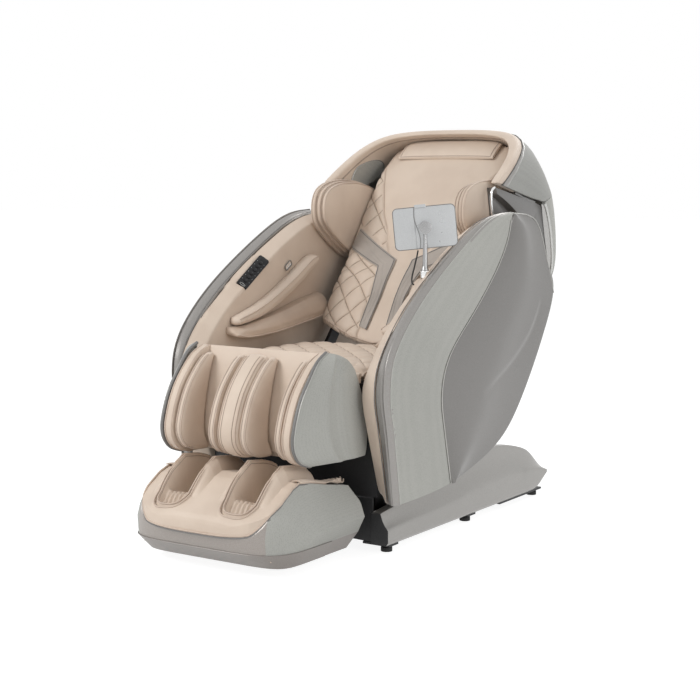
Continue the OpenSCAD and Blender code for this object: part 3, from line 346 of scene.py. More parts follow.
def soft_copy(node, name, levels=2, sharp=50, crease=0.85):
    """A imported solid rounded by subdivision; edges sharper than `sharp` degrees stay crisp by `crease`."""
    obj = welded(node, name)
    bpy.ops.object.mode_set(mode="EDIT")
    bpy.ops.mesh.select_all(action="SELECT")
    bpy.ops.mesh.tris_convert_to_quads(face_threshold=math.radians(50), shape_threshold=math.radians(60))
    bpy.ops.mesh.select_all(action="DESELECT")
    bpy.ops.mesh.select_mode(type="EDGE")
    bpy.ops.mesh.edges_select_sharp(sharpness=math.radians(sharp))
    bpy.ops.transform.edge_crease(value=crease)
    bpy.ops.object.mode_set(mode="OBJECT")
    rounding = obj.modifiers.new("rounding", "SUBSURF")
    rounding.levels = rounding.render_levels = levels
    apply_all(obj)
    bpy.ops.object.shade_smooth_by_angle(angle=math.radians(40))
    return obj


def soften_edges(obj, width, segments, angle):
    """Rounds every edge that turns by more than angle degrees."""
    edge = obj.modifiers.new("edge", "BEVEL")
    edge.width = width
    edge.segments = segments
    edge.limit_method = "ANGLE"
    edge.angle_limit = math.radians(angle)
    apply_all(obj)
    bpy.ops.object.shade_smooth_by_angle(angle=math.radians(35))
    return obj


def hard_copy(node, name, width=0.003, segments=3, angle=30):
    """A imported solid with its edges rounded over."""
    obj = welded(node, name)
    in_edit_mode(obj, lambda: bpy.ops.mesh.dissolve_limited(angle_limit=math.radians(0.5)))
    return soften_edges(obj, width, segments, angle)


def coords(obj):
    """The places of a piece's points, one row each."""
    co = np.empty(len(obj.data.vertices) * 3)
    obj.data.vertices.foreach_get("co", co)
    return co.reshape(-1, 3)


def set_coords(obj, co):
    """Moves a piece's points to new places."""
    obj.data.vertices.foreach_set("co", np.asarray(co, float).ravel())
    obj.data.update()


def mirrored(obj, name):
    """The same piece for the other side of the chair."""
    twin = copied(obj, name)
    set_coords(twin, coords(twin) * [-1, 1, 1])
    in_edit_mode(twin, bpy.ops.mesh.flip_normals)
    return twin


def pair(piece, material, body, *stands_for, slot=None):
    """Puts a left piece in place, and its mirrored twin on the right."""
    put(piece, material, body, *stands_for, slot=slot)
    twin_name = piece.name.replace("_left", "_right") if "_left" in piece.name else piece.name + "_right"
    put(mirrored(piece, twin_name), material, body, *stands_for, slot=slot)


print("copy helpers ready")

# %% [markdown]
# A quilted cushion could be sculpted, but then no two diamonds match. Here a fine flat grid is made instead, and
# a formula moves each of its points. `grid_pad` closes the grid with an extruded border and an underside, and
# `thin_sheet` gives it an even wall, which suits moulded panels.
# %% Pads from a grid
def grid_pad(name, columns, rows, top, under):
    """A closed pad. top(u, v) and under(u, v) give points for u and v from -1 to 1."""
    bpy.ops.object.select_all(action="DESELECT")
    bpy.ops.mesh.primitive_grid_add(x_subdivisions=columns, y_subdivisions=rows, size=2)
    pad = bpy.context.active_object
    pad.name = name
    in_edit_mode(pad, bpy.ops.mesh.region_to_loop,
                 lambda: bpy.ops.mesh.extrude_edges_move(TRANSFORM_OT_translate={"value": (0, 0, -1)}),
                 bpy.ops.mesh.edge_face_add)
    co = coords(pad)
    low = co[:, 2] < -0.5
    u, v = co[:, 0], co[:, 1]
    set_coords(pad, np.where(low[:, None], under(u, v), top(u, v)))
    in_edit_mode(pad, face_outwards)
    bpy.ops.object.shade_smooth_by_angle(angle=math.radians(50))
    return pad


def thin_sheet(name, columns, rows, top, thickness, outward):
    """A shell of even thickness. top(u, v) gives its outer face; outward tells which way its middle looks."""
    bpy.ops.object.select_all(action="DESELECT")
    bpy.ops.mesh.primitive_grid_add(x_subdivisions=columns, y_subdivisions=rows, size=2)
    shell = bpy.context.active_object
    shell.name = name
    co = coords(shell)
    set_coords(shell, top(co[:, 0], co[:, 1]))
    if shell.data.polygons[len(shell.data.polygons) // 2].normal.dot(Vector(outward)) < 0:
        in_edit_mode(shell, bpy.ops.mesh.flip_normals)
    wall = shell.modifiers.new("wall", "SOLIDIFY")
    wall.thickness = thickness
    wall.offset = -1
    apply_all(shell)
    bpy.ops.object.shade_smooth_by_angle(angle=math.radians(50))
    return shell


def near(value, middle, width):
    """1 at the middle, falling to 0 a width away."""
    return np.exp(-((value - middle) / width) ** 2)


def quilting(a, b, pitch):
    """Diamond quilting: 0 along the seams, 1 in the middle of each diamond."""
    one = np.abs(np.sin(math.pi * (a + b) / pitch))
    two = np.abs(np.sin(math.pi * (a - b) / pitch))
    return np.sqrt(one * two)


def distance_to_line(x, y, line):
    """Distance of points from a bent line."""
    best = np.full(x.shape, 1e9)
    for (x0, y0), (x1, y1) in zip(line[:-1], line[1:]):
        dx, dy = x1 - x0, y1 - y0
        t = np.clip(((x - x0) * dx + (y - y0) * dy) / (dx * dx + dy * dy), 0, 1)
        best = np.minimum(best, np.hypot(x - x0 - t * dx, y - y0 - t * dy))
    return best


print("pad helpers ready")

# %% [markdown]
# An air pad or a shoulder layer is a slab cut to an outline, with round corners. An outline could be extruded and
# bevelled, but then its faces stay flat. A stack of closed rings, each the outline moved in or out a little, gives
# the swell of the faces too, and one level of subdivision smooths it.
# %% Rings and outlines
def inset(loop, depth):
    """A closed outline in a plane, moved inwards."""
    loop = np.array(loop, float)
    turn = np.roll(loop, -1, 0)
    if np.sum(loop[:, 0] * turn[:, 1] - loop[:, 1] * turn[:, 0]) < 0:
        loop = loop[::-1]
    way = np.roll(loop, -1, 0) - np.roll(loop, 1, 0)
    way /= np.linalg.norm(way, axis=1, keepdims=True)
    return loop - depth * np.c_[way[:, 1], -way[:, 0]]


def ringed(name, rings, levels=1):
    """A closed piece through closed rings of points; its two end rings are shut."""
    rings = np.array(rings)
    count, around = rings.shape[:2]
    faces = [(k * around + i, k * around + (i + 1) % around, (k + 1) * around + (i + 1) % around, (k + 1) * around + i)
             for k in range(count - 1) for i in range(around)]
    faces += [tuple(range(around)), tuple(range((count - 1) * around, count * around))]
    mesh = bpy.data.meshes.new(name)
    mesh.from_pydata(rings.reshape(-1, 3).tolist(), [], faces)
    obj = bpy.data.objects.new(name, mesh)
    bpy.context.scene.collection.objects.link(obj)
    in_edit_mode(obj, face_outwards)
    if levels:
        rounding = obj.modifiers.new("rounding", "SUBSURF")
        rounding.levels = rounding.render_levels = levels
        apply_all(obj)
    bpy.ops.object.shade_smooth()
    return obj


def cushion_slab(name, loop, x0, x1, corner, bulge, origin):
    """A stuffed slab with an outline in the YZ plane between x0 and x1; gives the slab and its two seam lines."""
    core = inset(loop, corner)
    middle = core.mean(axis=0)
    crowned = [(middle + (core - middle) * share, bulge * (1 - share ** 2)) for share in (0.12, 0.4, 0.68, 0.88)]
    rounded, thick = inset(loop, corner * 0.3), x1 - x0
    near_face = [(ring, x0 - rise) for ring, rise in crowned] + [(core, x0), (rounded, x0 + thick * 0.16)]
    far_face = [(ring, x1 + rise) for ring, rise in crowned] + [(core, x1), (rounded, x1 - thick * 0.16)]
    stack = near_face + [(inset(loop, 0), (x0 + x1) / 2)] + far_face[::-1]
    rings = [np.c_[np.full(len(ring), x), ring + origin] for ring, x in stack]
    seams = [np.c_[np.full(len(loop), x), inset(loop, corner * 0.25) + origin]
             for x in (x0 + thick * 0.1, x1 - thick * 0.1)]
    return ringed(name, rings), seams


def hug(obj, path, lift):
    """A path laid on a piece: each point goes to the nearest place on it, then out by lift."""
    only(obj)
    laid = []
    for point in path:
        found, at, normal, _ = obj.closest_point_on_mesh(Vector(point))
        laid.append(np.array(at + normal * lift if found else point))
    return np.array(laid)


print("ring helpers ready")

# %% [markdown]
# A stuffed pad swells between its seams. Cloth with pressure from inside does that by itself: the closed shape is
# remeshed evenly, blown up for twenty steps without gravity, and each point's way is capped so it stays in place.
# %% Stuffing
def stuffed(obj, cap, voxel=0.005, pressure=4.0, last_step=20):
    """Remeshes a closed piece evenly and blows it up a little with cloth, no point moving further than cap."""
    only(obj)
    even = obj.modifiers.new("even", "REMESH")
    even.mode = "VOXEL"
    even.voxel_size = voxel
    apply_all(obj)
    start = coords(obj)
    cloth = obj.modifiers.new("cloth", "CLOTH")
    cloth.settings.use_pressure = True
    cloth.settings.uniform_pressure_force = pressure
    cloth.settings.effector_weights.gravity = 0
    for step in range(1, last_step + 1):
        bpy.context.scene.frame_set(step)
    blown = obj.evaluated_get(bpy.context.evaluated_depsgraph_get())
    moved = coords(blown) - start
    size = np.linalg.norm(moved, axis=1, keepdims=True)
    obj.modifiers.remove(cloth)
    bpy.context.scene.frame_set(1)
    set_coords(obj, start + moved * np.minimum(1, cap / np.maximum(size, 1e-9)))
    calm = obj.modifiers.new("calm", "SMOOTH")
    calm.factor = 0.5
    calm.iterations = 4
    finer = obj.modifiers.new("finer", "SUBSURF")
    finer.levels = finer.render_levels = 1
    apply_all(obj)
    bpy.ops.object.shade_smooth()
    return obj


print("stuffing helper ready")

# %% [markdown]
# ## Base
# Two long rails carry the chair. Each cover is a pressed shell: a flat lower flank, a hollow above it and
# a tail that rises and thins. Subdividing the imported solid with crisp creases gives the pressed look.
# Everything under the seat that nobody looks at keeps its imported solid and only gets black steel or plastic.
# %% Rails, feet and running gear
def by_face(obj, materials, choose):
    """Gives each face one of several finishes; choose(middle, normal) names it."""
    obj.data.materials.clear()
    for material in materials:
        obj.data.materials.append(material)
    for face in obj.data.polygons:
        face.material_index = choose(face.center, face.normal)


for side in ("left", "right"):
    rail = put(soft_copy(f"rail_cover_{side}", f"rail_shell_{side}", levels=2, sharp=28, crease=0.9), rail_silver,
               "base", f"rail_cover_{side}")
    by_face(rail, [rail_silver, matt_dark], lambda at, way: int(way.y < -0.8 and at.y < -0.34))
put(hard_copy("floor_feet", "rubber_feet", 0.0015, 3), rubber, "base", "floor_feet")
plain = {"base_frame": frame_steel, "seat_frame": frame_steel, "seat_pan": matt_dark, "control_box": matt_dark,
         "back_frame": frame_steel, "massage_head": frame_steel, "massage_rollers": roller_grey,
         "calf_frame": frame_steel, "calf_back": matt_dark, "foot_rods": chrome, "power_inlet": matt_dark,
         "power_rocker": red_gloss}
for name, material in plain.items():
    nodes[name].data.materials.clear()
    nodes[name].data.materials.append(material)
print("kept solids", len(plain))

# %% [markdown]
# ## Dust panel
# Behind the leg rest a thin black moulded panel closes the space between the pods, so the running gear
# stays out of sight; its black is partly painted shade, standing for the deep shade of that space. It is a cube
# pulled flat and subdivided, with shallow ribs pressed into it. A lower copy of it closes the base in the same
# way, and its black is painted shade under the foot unit too.
# %% Make the dust panel
def block(name, size, at=(0, 0, 0)):
    """A plain box."""
    bpy.ops.object.select_all(action="DESELECT")
    bpy.ops.mesh.primitive_cube_add(size=1, location=at, scale=size)
    box = bpy.context.active_object
    box.name = name
    bpy.ops.object.transform_apply(location=True, rotation=True, scale=True)
    return box


# Its black stands partly for the deep shade between the pods: painted shade.
dust_panel = block("front_dust_panel", (0.597, 0.005, 0.262), (0, -0.348, 0.294))
in_edit_mode(dust_panel, lambda: bpy.ops.mesh.subdivide(number_cuts=15))
rib_pitch, rib_depth = 0.0733, 0.004
dust_co = coords(dust_panel)
dust_co[:, 1] -= rib_depth * near(dust_co[:, 0] % rib_pitch, 0.0366, 0.012)
set_coords(dust_panel, dust_co)
bpy.ops.object.shade_smooth_by_angle(angle=math.radians(40))
put(dust_panel, matt_dark, "carriage")
low_panel = copied(dust_panel, "base_front_panel")
low_co = coords(low_panel)
set_coords(low_panel, np.c_[low_co[:, 0] * 0.96, low_co[:, 1] - 0.004, 0.032 + (low_co[:, 2] - 0.163) * 0.488])
put(low_panel, matt_dark, "base")
print("dust panel", [round(v, 3) for v in dust_panel.dimensions])

# %% [markdown]
# ## Seat cushion
# A thick leather cushion quilted in diamonds, with a rolled front edge and a welt under the roll. A fine grid
# takes the quilting from a formula: the product of two crossing waves is zero along the seams. The same
# crossing numbers are stored on the points, and the leather reads them to draw a thin sunken seam, darkened
# with painted shade.
# %% Quilt the seat
seat_half, seat_front, seat_rear = 0.2597, -0.3778, 0.0695
seat_height = deck + 0.406
pitch = 0.086


def crown(u):
    """1 in the middle, falling smoothly to 0 at both edges."""
    return 1 - np.abs(u) ** 2.6


def carry_seams(obj, first, second, amount):
    """Stores seam coordinates on the points of a quilted piece."""
    layer = obj.data.attributes.new("quilt", "FLOAT_VECTOR", "POINT")
    layer.data.foreach_set("vector", np.c_[first, second, amount].astype(np.float32).ravel())


def seat_lines(x, y):
    """The two crossing seam numbers of the seat; a seam runs where one of them is whole."""
    return (x + y) / pitch, (x - y) / pitch


def seat_top(u, v):
    """The quilted face, with its rolled lip in front and its lowered edges."""
    y = seat_front + (seat_rear - seat_front) * (v + 1) / 2
    x = seat_half * u
    along = (y + 0.160) / 0.235
    quilt = 0.011 * quilting(x, y, pitch) ** 0.55
    lip = np.clip((seat_front + 0.06 - y) / 0.02, 0, 1)
    puffs = 0.0075 * np.abs(np.sin(math.pi * x / (pitch / 2))) ** 0.5
    z = seat_height - 0.0175 + quilt * (1 - lip) + puffs * lip + 0.008 * crown(u)
    z -= 0.028 * np.abs(along) ** 9 + 0.014 * np.abs(u) ** 9
    z -= 0.006 * near(y, seat_front + 0.012, 0.004)
    return np.c_[x, y, z]


def seat_under(u, v):
    """The flat underside, raised a little where the lip turns under."""
    return np.c_[seat_half * u * 0.99, seat_front + (seat_rear - seat_front) * (v + 1) / 2 + 0.004 * (v < -0.9),
                 np.where(v < -0.9, seat_height - 0.046, seat_height - 0.0555)]


seat = grid_pad("quilted_seat", 200, 180, seat_top, seat_under)
seat_co = coords(seat)
carry_seams(seat, *seat_lines(seat_co[:, 0], seat_co[:, 1]), (seat_co[:, 1] > seat_front + 0.055) * 1.0)
put(seat, quilt_beige, "carriage", "seat_cushion", slot="seat_cushion")
put(soft_copy("front_skirt", "seat_skirt", levels=2, sharp=60, crease=0.5), beige, "carriage", "front_skirt")
welt = [(x, seat_front - 0.002, seat_height - 0.030 - 0.004 * abs(x / 0.25) ** 6) for x in np.linspace(-0.25, 0.25, 31)]
put(bead("seat_welt", welt, 0.0035), piping, "carriage")
print("seat", len(seat.data.polygons), "faces")

# %% [markdown]
# ## Arm pods
# Each pod is a sandwich: a padded leather lining towards the sitter, a silver plate round its edge, a dotted
# cloth panel in front and a smooth dark panel behind, parted by a thin bright strip.
# The lines between them are laid down first, as smooth curves in the side view. The rear panel is pressed: a
# shallow crescent step is added to its points on one side of such a curve.
# %% Draw the lines of the pods
ridge = smooth_line([(-0.399, 0), (-0.431, 0.209), (-0.453, 0.325), (-0.425, 0.444), (-0.298, 0.571), (-0.096, 0.697),
                     (0.131, 0.804), (0.290, 0.822)], 8) + [0, deck]
inner = smooth_line([(-0.349, 0), (-0.416, 0.200), (-0.446, 0.318), (-0.412, 0.397), (-0.284, 0.530), (-0.085, 0.660),
                     (0.130, 0.768), (0.285, 0.805)], 8) + [0, deck]
ridge_low = inner + (ridge - inner) * 0.61
cloth_seam = smooth_line(np.array([(-80, 14), (-118, 170), (-139, 291), (-93, 406), (71, 534), (198, 644), (270, 735),
                                   (294, 812)]) / 1000, 8) + [0, deck]
silver_share = 0.10
cloth_start = ridge + (cloth_seam - ridge) * silver_share
crescent = [(0.5153, 0.7145), (0.4887, 0.6435), (0.4241, 0.5732), (0.307, 0.5034), (0.1797, 0.4539), (0.0797, 0.4189)]
rear_top = smooth_line([(0.306, 0.819), (0.477, 0.790), (0.570, 0.650), (0.619, 0.545)], 8) + [0, deck]


def press_crescent(obj):
    """Sinks the rear panel below the crescent line by up to four millimetres, most of it near the line."""
    co = coords(obj)
    line = smooth_line(crescent, 8)
    away = distance_to_line(co[:, 1], co[:, 2], [tuple(p) for p in line])
    nearest = np.array([np.argmin((line[:, 0] - y) ** 2 + (line[:, 1] - z) ** 2) for y, z in co[:, 1:]])
    way = np.gradient(line, axis=0)[nearest]
    gap = co[:, 1:] - line[nearest]
    below = way[:, 0] * gap[:, 1] - way[:, 1] * gap[:, 0] > 0
    fade = np.clip((0.45 - np.abs(nearest / (len(line) - 1) - 0.5)) / 0.2, 0, 1)
    step = np.clip(away / 0.010, 0, 1) * np.exp(-away / 0.09) * fade
    co[:, 0] -= np.sign(co[:, 0]) * 0.004 * np.where(below, step, 0)
    set_coords(obj, co)


print("pod lines", len(ridge), "and", len(rear_top), "points")

# %% [markdown]
# The imported solids already have the pods' outlines, so subdivided copies of them give clean curved panels. The
# faces of the cloth panel nearest its front ridge are painted silver, and thin beads cover the joints. Two pale
# beads, along the cloth's front edge and along the rear panel's top, are painted highlights.
# %% Cover the pods
for side, way in (("left", 1), ("right", -1)):
    put(soft_copy(f"pod_lining_{side}", f"lining_{side}", levels=2, sharp=75, crease=0.6), beige, "carriage",
        f"pod_lining_{side}")
    put(soft_copy(f"pod_plate_{side}", f"silver_edge_{side}", levels=2, sharp=60, crease=0.9), silver, "carriage",
        f"pod_plate_{side}")
    panel = put(soft_copy(f"pod_mesh_{side}", f"cloth_panel_{side}", levels=2, sharp=60, crease=0.9), cloth_side,
                "carriage", f"pod_mesh_{side}")
    middles = np.array([face.center[1:] for face in panel.data.polygons])
    to_ridge = distance_to_line(middles[:, 0], middles[:, 1], [tuple(p) for p in ridge])
    to_seam = distance_to_line(middles[:, 0], middles[:, 1], [tuple(p) for p in cloth_seam])
    panel.data.materials.append(silver)
    for face, share in zip(panel.data.polygons, to_ridge / (to_ridge + to_seam)):
        face.material_index = int(share < silver_share)
    rear_panel = soft_copy(f"pod_rear_{side}", f"rear_panel_{side}", levels=3, sharp=60, crease=0.9)
    press_crescent(rear_panel)
    put(rear_panel, pod_dark, "carriage", f"pod_rear_{side}")
    # Two pale beads are painted highlights: one along the cloth's front edge, one along the rear panel's top.
    for name, line, x, radius, material in (("cloth_edge_highlight", cloth_start, 0.3888, 0.0013, soft_line),
                                            ("lining_edge_line", ridge_low, 0.3525, 0.0012, thin_grey),
                                            ("rear_edge_highlight", rear_top, 0.3845, 0.0018, soft_line)):
        put(bead(f"{name}_{side}", np.c_[np.full(len(line), way * x), line], radius), material, "carriage")
put(soft_copy("pod_trims", "bright_strips", levels=1, sharp=60, crease=0.6), soft_line, "carriage", "pod_trims")
print("cloth panel", len(panel.data.polygons), "faces, rear panel", len(rear_panel.data.polygons))

# %% [markdown]
# ## Forearm pads
# A pad hangs from the pod over the forearm and a second one lies under it. Both are stuffed, so a closed
# copy is blown up a little with cloth pressure before its piping goes on.
# %% Stuff the forearm pads
flap_edge = np.array([(0.2586, -0.268, 0.492), (0.2586, -0.165, 0.518), (0.2586, -0.057, 0.561),
                      (0.2586, 0.055, 0.618), (0.2586, 0.124, 0.658), (0.2586, 0.163, 0.670)]) + [0, 0, deck]
lower_edge = np.array([(0.247, -0.290, 0.446), (0.243, -0.220, 0.432), (0.243, -0.088, 0.436), (0.243, 0.068, 0.455),
                       (0.243, 0.150, 0.466), (0.243, 0.212, 0.478)]) + [0, 0, deck]
# The lower pad takes the darker copy of the beige leather: painted shade under the flap.
for part, edge, material in (("arm_flap", flap_edge, beige), ("arm_pad", lower_edge, shade_beige)):
    pad = stuffed(welded(f"{part}_left", f"{part}_padded_left"), cap=0.004)
    put(pad, material, "carriage", f"{part}_left")
    twin = put(mirrored(pad, f"{part}_padded_right"), material, "carriage", f"{part}_right")
    pair(bead(f"{part}_piping_left", hug(pad, smooth_line(edge, 6), 0.0012), 0.0022), piping, "carriage")
    print(part, len(pad.data.polygons), "faces")

# %% [markdown]
# ## Leg rest
# The calf unit is a shell with a rim on each side, a middle divider and thin air pads that squeeze the calves.
# Each pad is a stuffed slab: rings of points give its outline, its rounded corners and its crowned faces,
# since no stretched cube follows that outline. Piping runs round both edges of every pad.
# %% Make the rims, the divider and the air pads
leg_at = np.array([-0.450, deck + 0.326])
calf_lower = [(-150, 46), (-184, 3), (-207, -42), (-222, -87), (-226, -118), (-218, -148), (-192, -176), (-145, -193)]
calf_front = smooth_line(np.array([(-50, 112), (-102, 90)] + calf_lower) / 1000, 4)
calf_deep = np.array([(-45.9, 112), (-74.6, 46), (-98.5, -42), (-106.5, -118), (-92.2, -176), (-72.5, -193)]) / 1000
on_deep = np.r_[calf_deep[5:0:-1] - [[0.008, 0], [0.008, 0], [0.008, 0], [0.001, 0], [0.001, 0]],
                [(-0.0615, 0.080), (-0.0580, 0.091)]]


def leg_pads(name, front, x0, x1, corner, bulge, both):
    """One stuffed slab with its piping, or a mirrored pair."""
    loop = np.r_[front[2:], on_deep]
    slab = cushion_slab(name, loop, x0, x1, corner, bulge, leg_at)[0]
    cords = []
    for number, share, radius, lift, material in ((1, 0.09, 0.0022, 0.0010, piping), (2, 0.91, 0.0022, 0.0010, piping),
                                                  (3, 0.24, 0.0011, 0.0003, thread), (4, 0.76, 0.0011, 0.0003, thread)):
        path = np.c_[np.full(len(front) - 6, x0 + (x1 - x0) * share), front[3:-3] + leg_at]
        cords.append((bead(f"{name}_piping_{number}", hug(slab, path, lift), radius), material))
    pieces = [(slab, beige)] + cords
    if both:
        pieces += [(mirrored(piece, piece.name + "_right"), material) for piece, material in pieces]
    for piece, material in pieces:
        put(piece, material, "leg_rest")
    return pieces


divider_pieces = leg_pads("calf_middle_pad", calf_front, -0.038, 0.038, 0.010, 0.003, False)
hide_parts("calf_divider")
pad_front = calf_front + (np.array([-0.120, -0.060]) - calf_front) * 0.04
calf_edge, rim_in = 0.237, 0.195
inner_pieces = leg_pads("calf_inner_pad", pad_front, 0.044, 0.068, 0.009, 0.001, True)
outer_pieces = leg_pads("calf_outer_pad", pad_front, rim_in - 0.030, rim_in - 0.006, 0.009, 0.001, True)
left_slab, right_slab = 0, 5
for pieces in (inner_pieces, outer_pieces):
    for index, side in ((left_slab, "left"), (right_slab, "right")):
        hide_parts(f"calf_pads_{side}")
put(hard_copy("calf_shell", "calf_rims", 0.009, 4), beige, "leg_rest", "calf_shell")
for x in (rim_in + 0.0035, calf_edge - 0.0155):
    path = np.c_[np.full(len(calf_front), x), calf_front + leg_at]
    pair(bead(f"rim_piping_{round(x * 1000)}", path + [0, -0.0003, 0], 0.0021), piping, "leg_rest")

# %% [markdown]
# ## Side panels of the leg rest
# Each side panel is a moulded shell under dotted cloth. Its front part slants outwards as far as a soft crease,
# and behind the crease it runs nearly flat. A formula over a fine grid places that crease exactly.
# %% Make the side panels
side_a = smooth_line(np.array([(-62, 118), (-108, 94)] + calf_lower) / 1000, 4)
side_b = smooth_line(np.array([(-30, 108), (-4, 82), (14, 48), (30, 16), (44, -18), (55, -52), (64, -90), (68, -130),
                               (66, -162), (58, -187)]) / 1000, 4)


def read_at(line, s):
    """Points of a bent line, s counting its own points."""
    line = np.asarray(line, float)
    return np.c_[np.interp(s, range(len(line)), line[:, 0]), np.interp(s, range(len(line)), line[:, 1])]


def side_panel_at(u, v):
    """A point of the side panel: u runs back from its front edge, v down it."""
    s = (v + 1) / 2 * (len(side_a) - 1)
    share = (u + 1) / 2
    a, b = read_at(side_a, s), read_at(side_b, s)
    flat = a + (b - a) * share[:, None]
    k = s / (len(side_a) - 1) * 18
    fold = 0.30 + 0.16 * np.clip(k / 18, 0, 1)
    behind = np.clip((share - fold) / (1 - fold), 0, 1)
    rise = np.where(share < fold, 0.036 * (share / fold), 0.036 + 0.012 * np.sin(behind * math.pi / 2))
    soft = 0.004 * near(share, fold + 0.13, 0.09) - 0.002 * near(share, fold, 0.05)
    rounded = np.interp(k, [0, 1, 3, 18], [0.45, 0.78, 1, 1])
    return np.c_[calf_edge + (rise - soft) * rounded, flat + leg_at]


side_panel = thin_sheet("calf_side_panel_left", 40, 90, side_panel_at, 0.006, (1, 0, 0))
pair(side_panel, cloth_side, "leg_rest", "calf_sides")
for name, x, radius, material in (("calf_edge_strip", calf_edge - 0.0045, 0.0050, thin_grey),
                                  ("calf_edge_line", calf_edge + 0.0015, 0.0014, soft_line)):
    pair(bead(f"{name}_left", np.c_[np.full(len(side_a), x), side_a + leg_at], radius), material, "leg_rest")
print("side panel", len(side_panel.data.polygons), "faces")

# %% [markdown]
# ## Foot unit
# A moulded housing carries a leather cushion with two deep wells. The housing has a metallic band in front, a
# darker chamfer below it and dotted cloth on its sides, parted by a fine joint near each corner.
# Cutting planes put real edges on those joints, so that each face takes its own finish. A thin skin made from a
# formula lies over the whole chamfer and keeps its line clean round the corners.
# %% Cut and finish the housing
joint_x, joint_z = 0.2235, 0.0735
housing = welded("foot_shell", "foot_housing")
for at, way in (((joint_x, 0, 0), (1, 0, 0)), ((-joint_x, 0, 0), (1, 0, 0)), ((0, 0, joint_z), (0, 0, 1))):
    in_edit_mode(housing, lambda: bpy.ops.mesh.bisect(plane_co=at, plane_no=way))
bpy.ops.object.shade_smooth_by_angle(angle=math.radians(35))
put(housing, foot_paint, "foot_unit", "foot_shell")
by_face(housing, [foot_paint, foot_low, cloth_side],
        lambda at, way: 1 if at.z < joint_z else 2 if abs(at.x) > joint_x else 0)
print("housing", len(housing.data.polygons), "faces")


def chamfer_at(u, v):
    """A point of the housing's lower chamfer: v runs round the unit, u up the chamfer."""
    turn = np.radians(np.abs(v) * 90)
    ahead = (u + 1) / 2
    half_width = 0.250 + 0.027 * ahead
    front = 0.303 + 0.059 * ahead
    power = 0.28 + 0.14 * ahead
    x = half_width * np.clip(np.sin(turn), 0, 1) ** power
    y = -0.100 - (front - 0.100) * np.clip(np.cos(turn), 0, 1) ** power
    grow = 1 + 0.0026 / np.hypot(x, y + 0.05)
    return np.c_[np.sign(v) * x * grow, -0.05 + (y + 0.05) * grow + leg_at[0], -0.454 + 0.047 * ahead + leg_at[1]]


chamfer = thin_sheet("chamfer_skin", 8, 96, chamfer_at, 0.0014, (0, -1, -0.5))
put(chamfer, foot_low, "foot_unit")

# %% [markdown]
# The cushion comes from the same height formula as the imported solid, on a much finer grid: a rolled edge, two
# wells with steep sides, air pads beside them, and a raised double roll round each well. Sculpting could give the
# same rolls, but a formula keeps both wells equal, and the piping can use it again.
# %% Form the foot cushion
well_x, well_y, well_half_x, well_half_y = 0.118, -0.199, 0.048, 0.145
foot_edge_line = np.array([(-378, -350), (-372, -333), (-362, -322), (-322, -298), (-275, -270), (-232, -244),
                           (-198, -233), (-149, -239), (-79, -254), (9, -270)]) / 1000
ring_heights = np.array([-454, -407, -360, -325, -285, -240, -215]) / 1000
ring_halves = np.array([250, 277, 300, 288, 264, 240, 232]) / 1000


def foot_edge(y):
    """Height of the cushion's edge, from its toe at the front to its heel."""
    return np.interp(y, foot_edge_line[:, 0], foot_edge_line[:, 1])


def plan_half(y, half_width):
    """Half the housing's width at y; its front corners are rounded."""
    t = np.clip((-0.100 - y) / 0.278, 0, 1)
    return half_width * np.clip(1 - t ** (2 / 0.6), 0, 1) ** 0.3


def cushion_side(y):
    """Half the cushion's width at y, a hair inside the housing."""
    return np.minimum(0.236, plan_half(y, np.interp(foot_edge(y), ring_heights, ring_halves)) - 0.001)


def well_reach(x, y):
    """1 on the edge of a foot well, less inside it and more outside."""
    return np.abs((np.abs(x) - well_x) / well_half_x) ** 3 + np.abs((y - well_y) / well_half_y) ** 6


def foot_height(x, y):
    """Height of the cushion's top."""
    reach = well_reach(x, y)
    seam_shade = np.clip(2.2 * (1 - reach), 0, 1)
    u = (np.abs(np.abs(x) - well_x) - 0.058) / 0.024
    pad_beside = 0.034 * np.clip(1 - u * u, 0, 1) * np.clip(1 - np.abs((y + 0.160) / 0.150) ** 3, 0, 1)
    size = reach ** (1 / 3.6)
    rolls = 0.0055 * near(size, 1.06, 0.045) + 0.0045 * near(size, 1.20, 0.05) - 0.003 * near(size, 1.13, 0.02)
    toe = np.clip((-0.205 - y) / 0.080, 0, 1)
    gathers = 0.0035 * np.sin(x * 420 + 3 * np.sin(y * 60)) * seam_shade * toe
    depth = (0.084 - 0.070 * toe) * seam_shade
    return foot_edge(y) + 0.009 * crown(x / cushion_side(y)) + pad_beside + rolls - depth + gathers


foot_rows = np.r_[np.linspace(-0.376, -0.345, 22), np.linspace(-0.342, -0.072, 150)]


def foot_y(v):
    """Spreads the rows, closer together at the toe, where the form changes fast."""
    return np.interp((v + 1) / 2, np.linspace(0, 1, len(foot_rows)), foot_rows)


def foot_top(u, v):
    """The upper face of the foot cushion."""
    y = foot_y(v)
    x = u * cushion_side(y)
    return np.c_[x, y + leg_at[0], foot_height(x, y) + leg_at[1]]


def foot_under(u, v):
    """The under face, on the housing's floor and on the ledge at its toe."""
    y = foot_y(v)
    ledge = np.interp(y, [-0.390, -0.358, -0.345, -0.330, -0.322], [-0.366, -0.356, -0.336, -0.314, -0.312])
    low = np.where(y < -0.322, ledge, -0.430)
    return np.c_[u * cushion_side(y), y + leg_at[0], low + leg_at[1] + 0.0004]


foot_pad = grid_pad("foot_padding", 200, 171, foot_top, foot_under)
put(foot_pad, beige, "foot_unit", "foot_cushion")
print("foot cushion", len(foot_pad.data.polygons), "faces")

